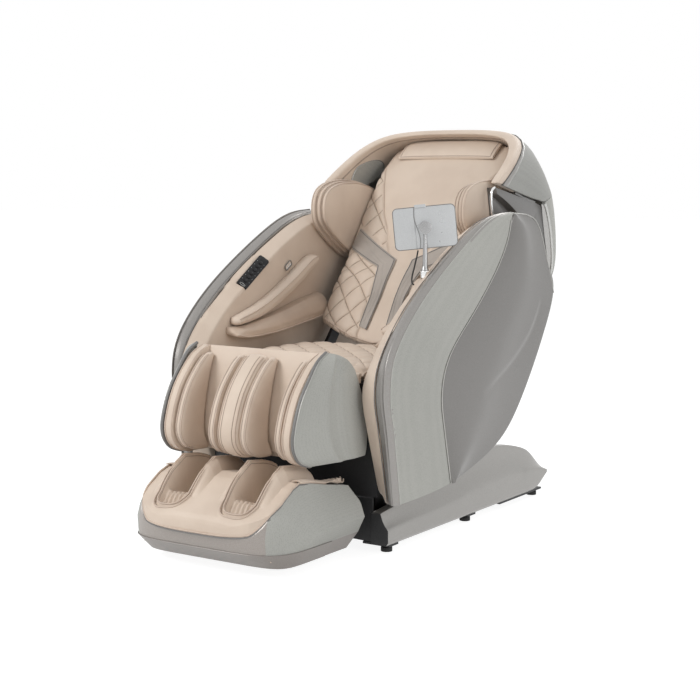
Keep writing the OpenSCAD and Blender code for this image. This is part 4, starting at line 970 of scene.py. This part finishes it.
# %% [markdown]
# Piping marks the cushion's edge, and two rounds of it with a stitch line each go round every well. They are laid
# by the cushion's own formulas, so they touch it everywhere. A thicker bead of cloth closes each front corner,
# where the edge turns.
# %% Sew the foot piping
ys = np.linspace(-0.072, -0.376, 70)
seam_y = [-0.378, -0.358, -0.345, -0.330, -0.318, -0.300, -0.275]
seam_height = [-0.3645, -0.3555, -0.336, -0.315, -0.300, -0.2862, -0.2705]


def foot_seam(x, y):
    """The line where the cushion meets the housing."""
    low = np.interp(y, seam_y, seam_height)
    return np.c_[x, y + leg_at[0], np.where(y < -0.275, low, foot_edge(y)) + leg_at[1]]


front_x = np.linspace(0.090, -0.090, 17)
front_y = -0.100 - 0.278 * (1 - (np.abs(front_x) / 0.2855) ** (1 / 0.3)) ** 0.3
side_seam = foot_seam(cushion_side(ys), ys)
edge_cord = np.r_[side_seam, foot_seam(front_x, front_y), (side_seam * [-1, 1, 1])[::-1]]
put(bead("foot_edge_piping", edge_cord + [0, 0, 0.0028], 0.0028), piping, "foot_unit")
put(bead("foot_edge_line", edge_cord * [1.004, 1, 1] + [0, -0.0010, -0.0022], 0.0021), thin_grey, "foot_unit")
corner_y = np.linspace(-0.312, -0.352, 14)
corner = foot_seam(cushion_side(corner_y), corner_y) + [-0.0008, 0.0005, -0.0042]
pair(bead("corner_roll_left", corner, 0.0036), cloth_side, "foot_unit")
turn = np.linspace(0, 2 * math.pi, 96, endpoint=False)
open_end = -0.078
for way, side in ((1, "left"), (-1, "right")):
    for number, size, radius, material in ((1, 1.075, 0.0024, piping), (2, 1.205, 0.0024, piping),
                                           (3, 1.015, 0.0012, thread), (4, 1.14, 0.0012, thread)):
        x = well_x + well_half_x * size ** 1.2 * np.sign(np.cos(turn)) * np.abs(np.cos(turn)) ** (2 / 3)
        y = well_y + well_half_y * size ** 0.6 * np.sign(np.sin(turn)) * np.abs(np.sin(turn)) ** (1 / 3)
        order = np.roll(np.arange(len(turn)), -np.argmin(y < open_end))
        order = order[y[order] < open_end]
        x, y = x[order], y[order]
        ring = np.c_[way * x, y + leg_at[0], foot_height(x, y) + leg_at[1] + 0.0008]
        put(bead(f"well_piping_{number}_{side}", ring, radius), material, "foot_unit")
print("edge piping", len(edge_cord), "points")

# %% [markdown]
# ## Gussets
# A folded leather strip lies along each side on top of the foot unit, and its spare length bunches at the rear.
# On the real chair it opens out when the foot unit slides. Cloth simulation could fold it, but a thin grid with
# a growing wave gives the same few folds at once, and keeps them where they belong.
# %% Fold the gussets
def gusset_at(u, v):
    """A point of the gusset: u across it, v from its front end to the bunched rear."""
    y = -0.200 + 0.222 * (v + 1) / 2
    bunch = np.clip((y + 0.075) / 0.09, 0, 1)
    x = 0.226 + 0.016 * u * (1 - 0.25 * bunch) + 0.004 * np.sin(y * 240) * bunch
    z = foot_edge(y) + 0.011 - 0.004 * u ** 2 + 0.0055 * np.sin(u * 6 + y * 60) * bunch + 0.004 * bunch
    return np.c_[x, y + leg_at[0], z + leg_at[1]]


gusset = thin_sheet("gusset_left", 24, 90, gusset_at, 0.003, (0, 0, 1))
pair(gusset, beige, "foot_unit")
print("gusset", len(gusset.data.polygons), "faces")

# %% [markdown]
# ## Hood and rear shell
# The hood is one bent shell whose section opens into a U. Its front edge carries a thick leather roll, then a
# satin strip, then dotted cloth. The rear shell below it ends in a bright lip on each side.
# A formula gives any point of that surface from its place down the shell, across it and into its wall.
# %% Read the hood's surface
recline_pivot = np.array([0.085, deck + 0.176])
spine = np.array([(527, 913), (590, 892), (645, 850), (690, 790), (721, 715), (738, 630), (741, 550), (737, 475),
                  (721, 405), (690, 335), (615, 230), (515, 135)]) / 1000
rim_edge = np.array([(235, 732), (315, 715), (395, 698), (475, 683), (546, 669), (583, 610), (605, 540), (617, 470),
                     (627, 410), (650, 350), (575, 240), (480, 150)]) / 1000
shell_half = (338 - np.array([0, 0, 0, 0, 0, 0, 0, 2, 16, 55, 68, 83])) / 1000
round_x = [0, 0.32, 0.57, 0.73, 0.83, 0.905, 0.955, 0.99, 1]
round_d = [0, 0.007, 0.035, 0.095, 0.185, 0.31, 0.475, 0.72, 1]


def station(points, k):
    """The smooth curve through the points, read at place k; before the first point it runs straight."""
    p = np.asarray(points, float)
    if k < 0:
        return p[0] + (p[1] - p[0]) * k
    i = min(int(k), len(p) - 2)
    return curve_between(p[max(i - 1, 0)], p[i], p[i + 1], p[min(i + 2, len(p) - 1)], k - i)


def shell_at(k, u, depth):
    """A point of the hood or rear shell: k runs down it, u across from -8 to 8, depth goes inwards."""
    s, e, half = station(spine, k), station(rim_edge, k), float(station(shell_half, k)) - depth
    s = s + depth * (e - s) / np.linalg.norm(e - s)
    across, down = np.interp(abs(u), range(9), round_x), np.interp(abs(u), range(9), round_d)
    q = s + (e - s) * down
    return np.array([math.copysign(half * across, u), *(q + recline_pivot)])


def shell_grid(ks, us, depths):
    """Many points of the shell at once."""
    return np.array([shell_at(k, u, d) for k, u, d in zip(ks, us, depths)])


print("hood top at", [round(v, 3) for v in shell_at(0, 0, 0)])

# %% [markdown]
# The covers of the hood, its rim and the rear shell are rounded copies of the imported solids. Over the hood's front
# edge lies a satin strip that widens towards the sides: a thin sheet that follows the same surface, with a bright
# line behind it and a dark cord in front. Two rows of stitches run along the lining.
# %% Cover the hood
put(soft_copy("hood_shell", "hood_cover", levels=2, sharp=60, crease=0.9), hood_cloth, "back", "hood_shell")
hood_lining = put(soft_copy("hood_rim", "hood_lining", levels=2, sharp=70, crease=0.4), beige, "back", "hood_rim")
put(soft_copy("back_shell", "rear_shell", levels=2, sharp=60, crease=0.9), cloth_side, "back", "back_shell")
put(hard_copy("back_sides", "dark_side_walls", 0.003, 3), wall_grey, "back", "back_sides")
strip_start = 0.236


def strip_width(v):
    """How wide the strip is: narrow over the head, wide at the sides."""
    return 0.05 + 0.26 * np.abs(v) ** 2.5


def strip_place(u, v):
    """A point of the satin strip, just off the shell."""
    return shell_grid(strip_start + strip_width(v) * (u + 1) / 2, 8 * v, np.full(u.shape, -0.0016))


hood_strip = thin_sheet("hood_edge_strip", 4, 120, strip_place, 0.0012, (0, 0, 1))
put(hood_strip, silver, "back")
across = np.linspace(-8, 8, 97)
strip_end = shell_grid(strip_start + strip_width(across / 8), across, across * 0 - 0.001)
put(bead("hood_strip_line", strip_end, 0.0013), bright_line, "back")
roll_line = shell_grid(across * 0 + strip_start, across, across * 0 - 0.0006)
put(bead("hood_roll_cord", roll_line, 0.0020), thin_grey, "back")
for number, k in ((1, 0.27), (2, 0.33)):
    path = [shell_at(k, u, 0.0346) for u in np.linspace(-7.9, 7.9, 90)]
    put(bead(f"lining_stitch_{number}", hug(hood_lining, path, 0.0004), 0.0011), thread, "back")
print("hood strip", len(hood_strip.data.polygons), "faces")

# %% [markdown]
# A bright crescent, a painted highlight, leads from each dark side wall out to the front edge of the rear shell,
# and the shell's lip carries a bright bead, a painted highlight along the lip. A curved chrome bead ends the wall
# in front, and a dark strip closes the joint under the hood. Sheets and beads along measured curves are enough
# here, since all of them are thin.
# %% Edge the side walls
wall_outside = 0.3289


def blade_place(u, v):
    """A point of the crescent: u from the lip in to the wall, v down the lip."""
    along, share = (v + 1) / 2, (u + 1) / 2
    lip = shell_grid(4.12 + 3.3 * along, np.full(u.shape, 8.0), np.full(u.shape, -0.001))
    width = 0.028 * np.sin(math.pi * np.clip(0.04 + 0.94 * along, 0, 1)) ** 0.7
    return np.c_[lip[:, 0] - (lip[:, 0] - wall_outside) * share ** 0.8, lip[:, 1] - 0.001 - width * share, lip[:, 2]]


# The crescent is a painted highlight on the rear shell's inner lip.
blade = thin_sheet("shell_blade_left", 8, 80, blade_place, 0.0012, (1, -0.3, 0))
pair(blade, highlight_silver, "back")
closing = smooth_line([(0.3238, y, z) for y, z in ((0.440, 1.0350), (0.470, 1.0275), (0.496, 1.0198), (0.517, 1.0158),
                                                   (0.547, 1.0093), (0.584, 1.0018))], 4)
pair(bead("hood_closing_strip_left", closing, 0.0055, sides=3), wall_grey, "back")
wall_front = [(0.3275, 0.2960, 1.053), (0.3272, 0.2790, 1.041), (0.3268, 0.2770, 1.010), (0.3264, 0.2860, 0.960),
              (0.3258, 0.2980, 0.905)]
for way, side in ((1, "left"), (-1, "right")):
    ks = np.linspace(4.06, 8.4, 50)
    lip = shell_grid(ks, ks * 0 + way * 8, ks * 0 + 0.001)
    # The lip's bright bead is a painted highlight along the shell's edge.
    put(bead(f"rear_shell_lip_{side}", lip, 0.0058, sides=3), bright_line, "back")
    front_line = smooth_line([(way * x, y, z) for x, y, z in wall_front], 6)
    put(bead(f"wall_edge_strip_{side}", front_line, 0.0040), chrome, "back")
print("blade", len(blade.data.polygons), "faces")

# %% [markdown]
# ## Lens inserts
# A lens-shaped insert of pale grey cloth is let into each inner side of the hood, with a bright cord round it.
# The cord could be cut from the insert's own edge, but the shell's formula gives a cleaner curve.
# %% Finish the inserts
put(soft_copy("hood_vents", "hood_side_inserts", levels=2, sharp=60, crease=0.5), cloth_side, "back", "hood_vents")
lens_half = [(0.55, 0.2), (1, 0.7), (1.5, 1.1), (2, 1.28), (2.5, 1.32), (3, 1.22), (3.5, 0.85), (3.9, 0.2)]
lens = lens_half + [(row, -share) for row, share in lens_half[::-1]]
lining_depth = 0.034 + 0.0032
for way, side in ((1, "left"), (-1, "right")):
    rim_line = [shell_at(0.24 + 0.47 * row, way * (6.55 + share), lining_depth) for row, share in lens]
    put(bead(f"insert_edge_{side}", smooth_line(rim_line, 3, closed=True), 0.0016, closed=True), bright_line, "back")
print("insert edge", len(lens), "points")

# %% [markdown]
# ## Back pad
# The pad follows the sitter's spine and ends in a point. Its sides are quilted, its middle is plain, and a sunk
# seam parts them. The spine's curve and the lines of the middle and the bands are laid down first.
# %% Lay down the back pad's lines
pad_line = smooth_line([(12, 215), (65, 292), (145, 400), (207, 468), (269, 558), (351, 668), (428, 761), (494, 820),
                        (555, 860)], 60) / 1000 + recline_pivot
pad_scale = np.linspace(0, 1, len(pad_line))
pad_half = 0.240
pad_length = 0.90


def on_pad(x, t, rise):
    """A point of the back pad: x across, t from its foot to its head, rise above its base curve."""
    t = np.clip(t, -0.02, 1)
    base, ahead, behind = (np.c_[np.interp(at, pad_scale, pad_line[:, 0]), np.interp(at, pad_scale, pad_line[:, 1])]
                           for at in (t, t + 0.02, t - 0.02))
    way = ahead - behind
    way /= np.linalg.norm(way, axis=1, keepdims=True)
    return np.c_[x, base[:, 0] - way[:, 1] * rise, base[:, 1] + way[:, 0] * rise]


plain_middle = ([0, 0.34, 0.385, 0.5, 0.577, 0.69, 0.8, 1], [0.066, 0.070, 0.060, 0.100, 0.150, 0.198, 0.236, 0.240])
band_top = [(0.222, 0.523), (0.030, 0.385), (0.026, 0.2), (0.034, 0.072)]
band_low = [(0.232, 0.437), (0.092, 0.339), (0.068, 0.2), (0.068, 0.086)]


def pad_base(x):
    """How far the pad's plain face stands off the spine's curve."""
    return 0.0042 + 0.010 * crown(x / pad_half) - 0.012 * np.abs(x / pad_half) ** 12


def pad_foot(u):
    """Where along the spine the pad begins; its foot is a point."""
    return 0.115 * np.abs(u) ** 1.2


def pad_head(u):
    """Where along the spine the pad ends."""
    return 1 - 0.05 * np.abs(u) ** 6


def quilted_share(x, t):
    """1 on the quilted sides, 0 on the plain middle and along the bands."""
    free = np.clip((np.abs(t - (0.357 + 0.131 * (np.abs(x) - 0.05) / 0.18)) / 0.05 - 0.9) * 3, 0, 1)
    return np.clip((np.abs(x) - np.interp(t, *plain_middle)) / 0.012, 0, 1) * free


print("pad line", len(pad_line), "points")

# %% [markdown]
# A grid laid along the spine's curve takes the whole form from one formula. The quilting fades out before the
# bands and the middle, and the ends are drawn down to a seam. Piping is laid on the finished pad.
# %% Quilt the back pad
def pad_top(u, v):
    """The pad's face: plain crown, quilting, sunk seams and drawn-in ends."""
    x = pad_half * u
    t = pad_foot(u) + (pad_head(u) - pad_foot(u)) * (v + 1) / 2
    quilt = 0.0115 * quilting(x, t * pad_length, pitch) ** 0.55 - 0.006
    rise = pad_base(x) + quilted_share(x, t) * quilt
    rise -= 0.004 * near(np.abs(x) - np.interp(t, *plain_middle), 0, 0.003)
    rise -= 0.012 * np.exp(-(t - pad_foot(u)) / 0.012) + 0.012 * np.exp(-(pad_head(u) - t) / 0.012)
    return on_pad(x, t, rise)


def pad_under(u, v):
    """The flat back of the pad."""
    t = pad_foot(u) + (pad_head(u) - pad_foot(u)) * (v + 1) / 2
    return on_pad(pad_half * u, t, np.full(u.shape, -0.020))


back_pad = grid_pad("quilted_back", 200, 340, pad_top, pad_under)
pad_co = coords(back_pad)
pad_t = np.array([pad_scale[np.argmin((pad_line[:, 0] - y) ** 2 + (pad_line[:, 1] - z) ** 2)]
                  for y, z in pad_co[:, 1:]])
carry_seams(back_pad, (pad_co[:, 0] + pad_t * pad_length) / pitch, (pad_co[:, 0] - pad_t * pad_length) / pitch,
            (quilted_share(pad_co[:, 0], pad_t) > 0.5) * 1.0)
put(back_pad, quilt_beige, "back", "back_pad", slot="back_pad")
rows = np.linspace(0.52, 0.80, 24)
for way, side in ((1, "left"), (-1, "right")):
    seam = on_pad(way * np.interp(rows, *plain_middle), rows, pad_base(np.interp(rows, *plain_middle)) - 0.002)
    put(bead(f"back_seam_{side}", seam, 0.0016), piping, "back")
foot_turn = np.linspace(-0.96, 0.96, 60)
foot_line = on_pad(pad_half * foot_turn, pad_foot(foot_turn) + 0.012, pad_base(pad_half * foot_turn) - 0.004)
put(bead("back_foot_piping", hug(back_pad, foot_line, 0.001), 0.0024), piping, "back")
print("back pad", len(back_pad.data.polygons), "faces")

# %% [markdown]
# ## Taupe bands
# Two darker bands run in from the pad's edges, turn beside the middle and go down to its point.
# Each is a thin padded strip with a stitched seam near both edges and a few soft pleats. One grid runs along the
# band's two edge lines and lies on the pad's own formula, which a strip pressed down with a modifier might miss.
# %% Sew the bands
def band_point(u, v):
    """Runs along a taupe band as v goes from -1 to 1 and across it with u."""
    s = (v + 1) / 2 * 3
    top, low = read_at(band_top, s), read_at(band_low, s)
    return low + (top - low) * ((u + 1) / 2)[:, None]


def band_face(u, v):
    """The padded face of the band, with two soft pleats."""
    at = band_point(u, v)
    pleat = 0.0016 * near(u, 0.1 + 0.3 * np.sin(v * 5), 0.10) + 0.0012 * near(u, -0.45 + 0.2 * np.sin(v * 7), 0.1)
    return on_pad(at[:, 0], at[:, 1], pad_base(at[:, 0]) + 0.0065 - 0.003 * np.abs(u) ** 8 - pleat)


def band_back(u, v):
    """Its back, lying on the pad."""
    at = band_point(u, v)
    return on_pad(at[:, 0], at[:, 1], pad_base(at[:, 0]) + 0.003)


band = grid_pad("taupe_band_left", 24, 120, band_face, band_back)
pair(band, taupe, "back", "back_bands", slot="back_bands")
stitch_run = np.linspace(-0.99, 0.99, 80)
for number, u in ((1, -0.84), (2, 0.84)):
    stitches = band_face(np.full(len(stitch_run), u), stitch_run) + [0, -0.0006, 0.0003]
    pair(bead(f"band_stitch_{number}_left", stitches, 0.0012), thin_grey, "back")
print("band", len(band.data.polygons), "faces")

# %% [markdown]
# ## Head pillow
# A flat pillow hangs over the top of the pad. It could be blown up as cloth, but it would come out too round here:
# a flatter crown with a crisp edge reads as a stuffed slab. A seam line runs round it a finger's width in.
# %% Make the pillow
pillow_half, pillow_middle, pillow_foot = 0.186, 0.91, 0.835


def pillow_place(u, v):
    """Where along the back pad a point of the pillow lies."""
    end = np.where(v < 0, pillow_foot, 0.985 - 0.028 * np.abs(u) ** 6)
    return pillow_middle + (end - pillow_middle) * np.abs(v)


def pillow_face(u, v):
    """The crowned face of the pillow."""
    full = (np.clip(crown(u / 1.02), 0, 1) * np.clip(crown(v * 0.98), 0, 1)) ** 0.32
    return on_pad(pillow_half * u, pillow_place(u, v), 0.0162 + 0.017 * full)


pillow = grid_pad("head_pillow_padded", 110, 60, pillow_face,
                  lambda u, v: on_pad(pillow_half * u, pillow_place(u, v), np.full(u.shape, 0.0146)))
put(pillow, beige, "back", "head_pillow")
side_run = np.linspace(-0.95, 0.95, 24)
loop_u = np.r_[side_run, np.full(24, 0.95), -side_run, np.full(24, -0.95)]
loop_v = np.r_[np.full(24, -0.93), side_run * 0.93 / 0.95, np.full(24, 0.93), -side_run * 0.93 / 0.95]
put(bead("pillow_seam", pillow_face(loop_u, loop_v), 0.0013, closed=True), thread, "back")
print("pillow", len(pillow.data.polygons), "faces")

# %% [markdown]
# ## Shoulder wings
# Three stuffed layers stand beside each shoulder like leaves, each with piping round both of its edges.
# They are slabs made from rings, and each layer towards the sitter is a little smaller than the one behind.
# %% Make the wings
wing_outline = smooth_line(np.array([(80, 640), (104, 712), (200, 744), (350, 738), (446, 690), (356, 560), (282, 480),
                                     (120, 572)]) / 1000, 4, closed=True)
wing_middle = np.array([0.240, 0.640])
wing_outside, wing_step, wing_thick = 0.300 - 0.0076, 0.0154, 0.015
for layer in range(3):
    outline = wing_outline + (wing_middle - wing_outline) * 0.045 * layer
    outer_face = wing_outside - layer * wing_step
    slab, seams = cushion_slab(f"shoulder_wing_{layer + 1}_left", outline, outer_face - wing_thick, outer_face, 0.007,
                               0.0025 if layer == 2 else 0.0, recline_pivot)
    twin = mirrored(slab, f"shoulder_wing_{layer + 1}_right")
    for piece, side in ((slab, "left"), (twin, "right")):
        put(piece, beige, "back", f"wing_{side}")
    for number, seam in enumerate(seams):
        pair(bead(f"wing_piping_{layer + 1}_{number + 1}_left", seam, 0.0019, closed=True), piping, "back")
print("wings", wing_outline.shape[0], "points round each layer")

# %% [markdown]
# ## Keys and sockets
# A narrow glossy panel lies on the slanted top of one pod, with six round keys. The marks beside the keys are
# only plain small dots and one ringed bar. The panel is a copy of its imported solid: the edges at its four corners
# are found by their place and rounded wide, and all others only a little.
# %% Make the key panel
panel_slope, panel_lean = math.radians(33), math.radians(45)


def on_panel(x, y, z):
    """A point of the key panel's own frame, in the chair's frame."""
    x, z = x * math.cos(panel_lean) + z * math.sin(panel_lean), -x * math.sin(panel_lean) + z * math.cos(panel_lean)
    y, z = y * math.cos(panel_slope) - z * math.sin(panel_slope), y * math.sin(panel_slope) + z * math.cos(panel_slope)
    return np.array([x - 0.311, y - 0.132, z + 0.630 + deck])


def rounded_corners(obj, corners, reach, offset, width):
    """Rounds the edges whose middles lie near the given corners, then softens every edge."""
    in_edit_mode(obj, lambda: bpy.ops.mesh.dissolve_limited(angle_limit=math.radians(0.5)),
                 lambda: bpy.ops.mesh.select_all(action="DESELECT"), lambda: bpy.ops.mesh.select_mode(type="EDGE"))
    co = coords(obj)
    for edge in obj.data.edges:
        middle = co[list(edge.vertices)].mean(axis=0)
        edge.select = bool(min(np.linalg.norm(middle - corner) for corner in corners) < reach)
    bpy.ops.object.mode_set(mode="EDIT")
    bpy.ops.mesh.bevel(offset=offset, segments=7, affect="EDGES")
    bpy.ops.object.mode_set(mode="OBJECT")
    return soften_edges(obj, width, 3, 40)


panel_corners = [on_panel(x, y, -0.0025) for x in (-0.019, 0.019) for y in (-0.075, 0.075)]
key_plate = rounded_corners(welded("key_panel", "key_plate"), panel_corners, 0.003, 0.008, 0.001)
put(key_plate, gloss_dark, "carriage", "key_panel")
mark_grey = painted("key_mark_grey", (0.30, 0.31, 0.32), (0.26, 0.27, 0.28), 0.4, 0.0)
key_spacing = 0.019
for number in range(1, 7):
    put(hard_copy(f"key_{number}", f"round_key_{number}", 0.0006, 2), gloss_dark, f"key_{number}", f"key_{number}")
    middle = (number - 3.5) * key_spacing
    for x, long in ((-0.0130, 0.0016), (0.0130, 0.0010)):
        mark = [on_panel(x, middle - long, 0.0021), on_panel(x, middle + long, 0.0021)]
        put(bead(f"key_mark_{number}_{round(x * 1000)}", mark, 0.0009), mark_grey, "carriage")
bar_corners = [(-0.008, -0.0655), (0, -0.064), (0.008, -0.0655), (0.009, -0.068), (0.008, -0.0705), (0, -0.072),
               (-0.008, -0.0705), (-0.009, -0.068)]
bar = smooth_line([on_panel(x, y, 0.0022) for x, y in bar_corners], 4, closed=True)
put(bead("panel_bar", bar, 0.0006, closed=True), bright_line, "carriage")
print("key plate", len(key_plate.data.polygons), "faces")

# %% [markdown]
# Two charging sockets sit near the sitter's elbow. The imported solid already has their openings, so it only gets
# softer edges, and a thin bead frames it.
# %% Frame the charge sockets
put(hard_copy("usb_port", "charge_sockets", 0.0006, 2), chrome, "carriage", "usb_port")
frame_corners = [(-0.017, -0.008), (0, -0.0088), (0.017, -0.008), (0.0185, 0), (0.017, 0.008), (0, 0.0088),
                 (-0.017, 0.008), (-0.0185, 0)]
frame_line = [(-0.2962, 0.041 + y * math.cos(panel_slope) - z * math.sin(panel_slope),
               0.643 + deck + y * math.sin(panel_slope) + z * math.cos(panel_slope)) for y, z in frame_corners]
put(bead("charge_socket_frame", smooth_line(frame_line, 4, closed=True), 0.0014, closed=True), thin_grey, "carriage")
print("socket frame", len(frame_line), "corners")

# %% [markdown]
# ## Tablet
# A slim pale tablet clips to a ball on a tapered stalk. Its four corners are rounded first, then every edge is
# softened. A wavy joint runs down one side of its rear face, a thin grey line round its rim is painted shade
# along its edge, and a small clip holds it at the top. Everything on it is placed in the tablet's own frame, then
# turned and tilted with it.
# %% Make the stalk and the tablet
put(hard_copy("tablet_base", "stalk_socket", 0.0015, 3), chrome, "carriage", "tablet_base")
stalk_finish = painted("stalk_chrome", (0.40, 0.40, 0.40), (0.36, 0.36, 0.36), 0.28, 0.8)
put(hard_copy("tablet_arm", "tablet_stalk_bright", 0.0008, 2), stalk_finish, "tablet_stalk", "tablet_arm")
ball = np.array([0.320, -0.120, 0.938])
turn_z, tilt_y = math.radians(33.5), math.radians(-5.5)


def on_tablet(x, y, z):
    """A point of the tablet's own frame, in the chair's frame."""
    x, z = x * math.cos(tilt_y) + z * math.sin(tilt_y), -x * math.sin(tilt_y) + z * math.cos(tilt_y)
    x, y = x * math.cos(turn_z) - y * math.sin(turn_z), x * math.sin(turn_z) + y * math.cos(turn_z)
    return np.array([x, y, z]) + ball


tablet_corners = [on_tablet(x, 0.020, z) for x in (-0.093, 0.093) for z in (-0.062, 0.062)]
tablet = rounded_corners(welded("tablet", "tablet_body"), tablet_corners, 0.003, 0.014, 0.0025)
put(tablet, tablet_silver, "tablet", "tablet")
wave = [on_tablet(-0.024 - 0.007 * math.sin(z * 42), 0.0138, z) for z in np.linspace(-0.060, 0.060, 40)]
put(bead("tablet_joint", wave, 0.0009), thin_grey, "tablet")
# The thin grey line round the rim is painted shade along the tablet's edge.
rim_radius = 0.0138
rim = [on_tablet(x + rim_radius * math.cos(math.radians(start + step)), 0.0146,
                 z + rim_radius * math.sin(math.radians(start + step)))
       for x, z, start in ((0.079, 0.048, 0), (-0.079, 0.048, 90), (-0.079, -0.048, 180), (0.079, -0.048, 270))
       for step in range(0, 91, 10)]
put(bead("tablet_rim", rim, 0.0013, closed=True), thin_grey, "tablet")
clip = block("tablet_clip", (0.034, 0.016, 0.010))
in_edit_mode(clip, lambda: bpy.ops.mesh.bevel(offset=0.002, segments=3, affect="EDGES"))
set_coords(clip, np.array([on_tablet(x - 0.010, y + 0.020, z + 0.0635) for x, y, z in coords(clip)]))
put(clip, tablet_silver, "tablet")
print("tablet", len(tablet.data.polygons), "faces")

# %% [markdown]
# ## Studio
# The chair stands on a plain pale floor under soft light from three square lamps. The floor keeps a little of its
# own light, so it meets the white air without a line, and still shows the chair's shadow. Both ask whether a ray
# comes from the camera, so what the chair receives can be set apart from what is seen behind it.
# %% Floor, air and lamps
def seen_straight(owner):
    """1 where the camera sees a surface straight or mirrored, 0 for light that has bounced."""
    ray = place(owner, "ShaderNodeLightPath").outputs
    return place(owner, "ShaderNodeMath", {"operation": "MAXIMUM"}, i0=ray["Is Camera Ray"],
                 i1=ray["Is Glossy Ray"]).outputs[0]


floor_material = bpy.data.materials.new("studio_floor")
floor_material.use_nodes = True
floor_material.node_tree.nodes.clear()
bpy.ops.mesh.primitive_plane_add(size=60, location=(0, 0, -0.0005))
floor = bpy.context.active_object
floor.name = "studio_floor"
own_light = place(floor_material, "ShaderNodeMath", {"operation": "MULTIPLY"}, i0=seen_straight(floor_material),
                  i1=0.66).outputs[0]
lit = place(floor_material, "ShaderNodeBsdfDiffuse", Color=(0.9, 0.9, 0.9, 1)).outputs[0]
glow = place(floor_material, "ShaderNodeEmission", Strength=1.36).outputs[0]
mix = place(floor_material, "ShaderNodeMixShader", i0=own_light, i1=lit, i2=glow).outputs[0]
place(floor_material, "ShaderNodeOutputMaterial", i0=mix)
floor.data.materials.append(floor_material)

world = bpy.data.worlds.new("studio_air")
world.use_nodes = True
bpy.context.scene.world = world
level = place(world, "ShaderNodeMapRange", i0=seen_straight(world), To_Min=0.53, To_Max=1.0).outputs[0]
background = world.node_tree.nodes["Background"]
background.inputs["Color"].default_value = (1, 1, 1, 1)
world.node_tree.links.new(level, background.inputs["Strength"])


def lamp(name, place_at, aim, size, power):
    """A square area lamp that points at its aim."""
    bpy.ops.object.light_add(type="AREA", location=place_at)
    light = bpy.context.active_object
    light.name = name
    light.data.energy = power
    light.data.size = size
    light.rotation_euler = (Vector(aim) - Vector(place_at)).to_track_quat("-Z", "Y").to_euler()


lamp("key_lamp", (-2.2, -3.6, 3.6), (0, 0, 0.6), 2.0, 130)
lamp("side_lamp", (3.8, -0.9, 1.5), (0, 0, 0.4), 2.0, 34)
lamp("rim_lamp", (0.5, 3.0, 3.2), (0, 0.2, 0.8), 2.0, 50)
bpy.context.scene.view_settings.view_transform = "Standard"
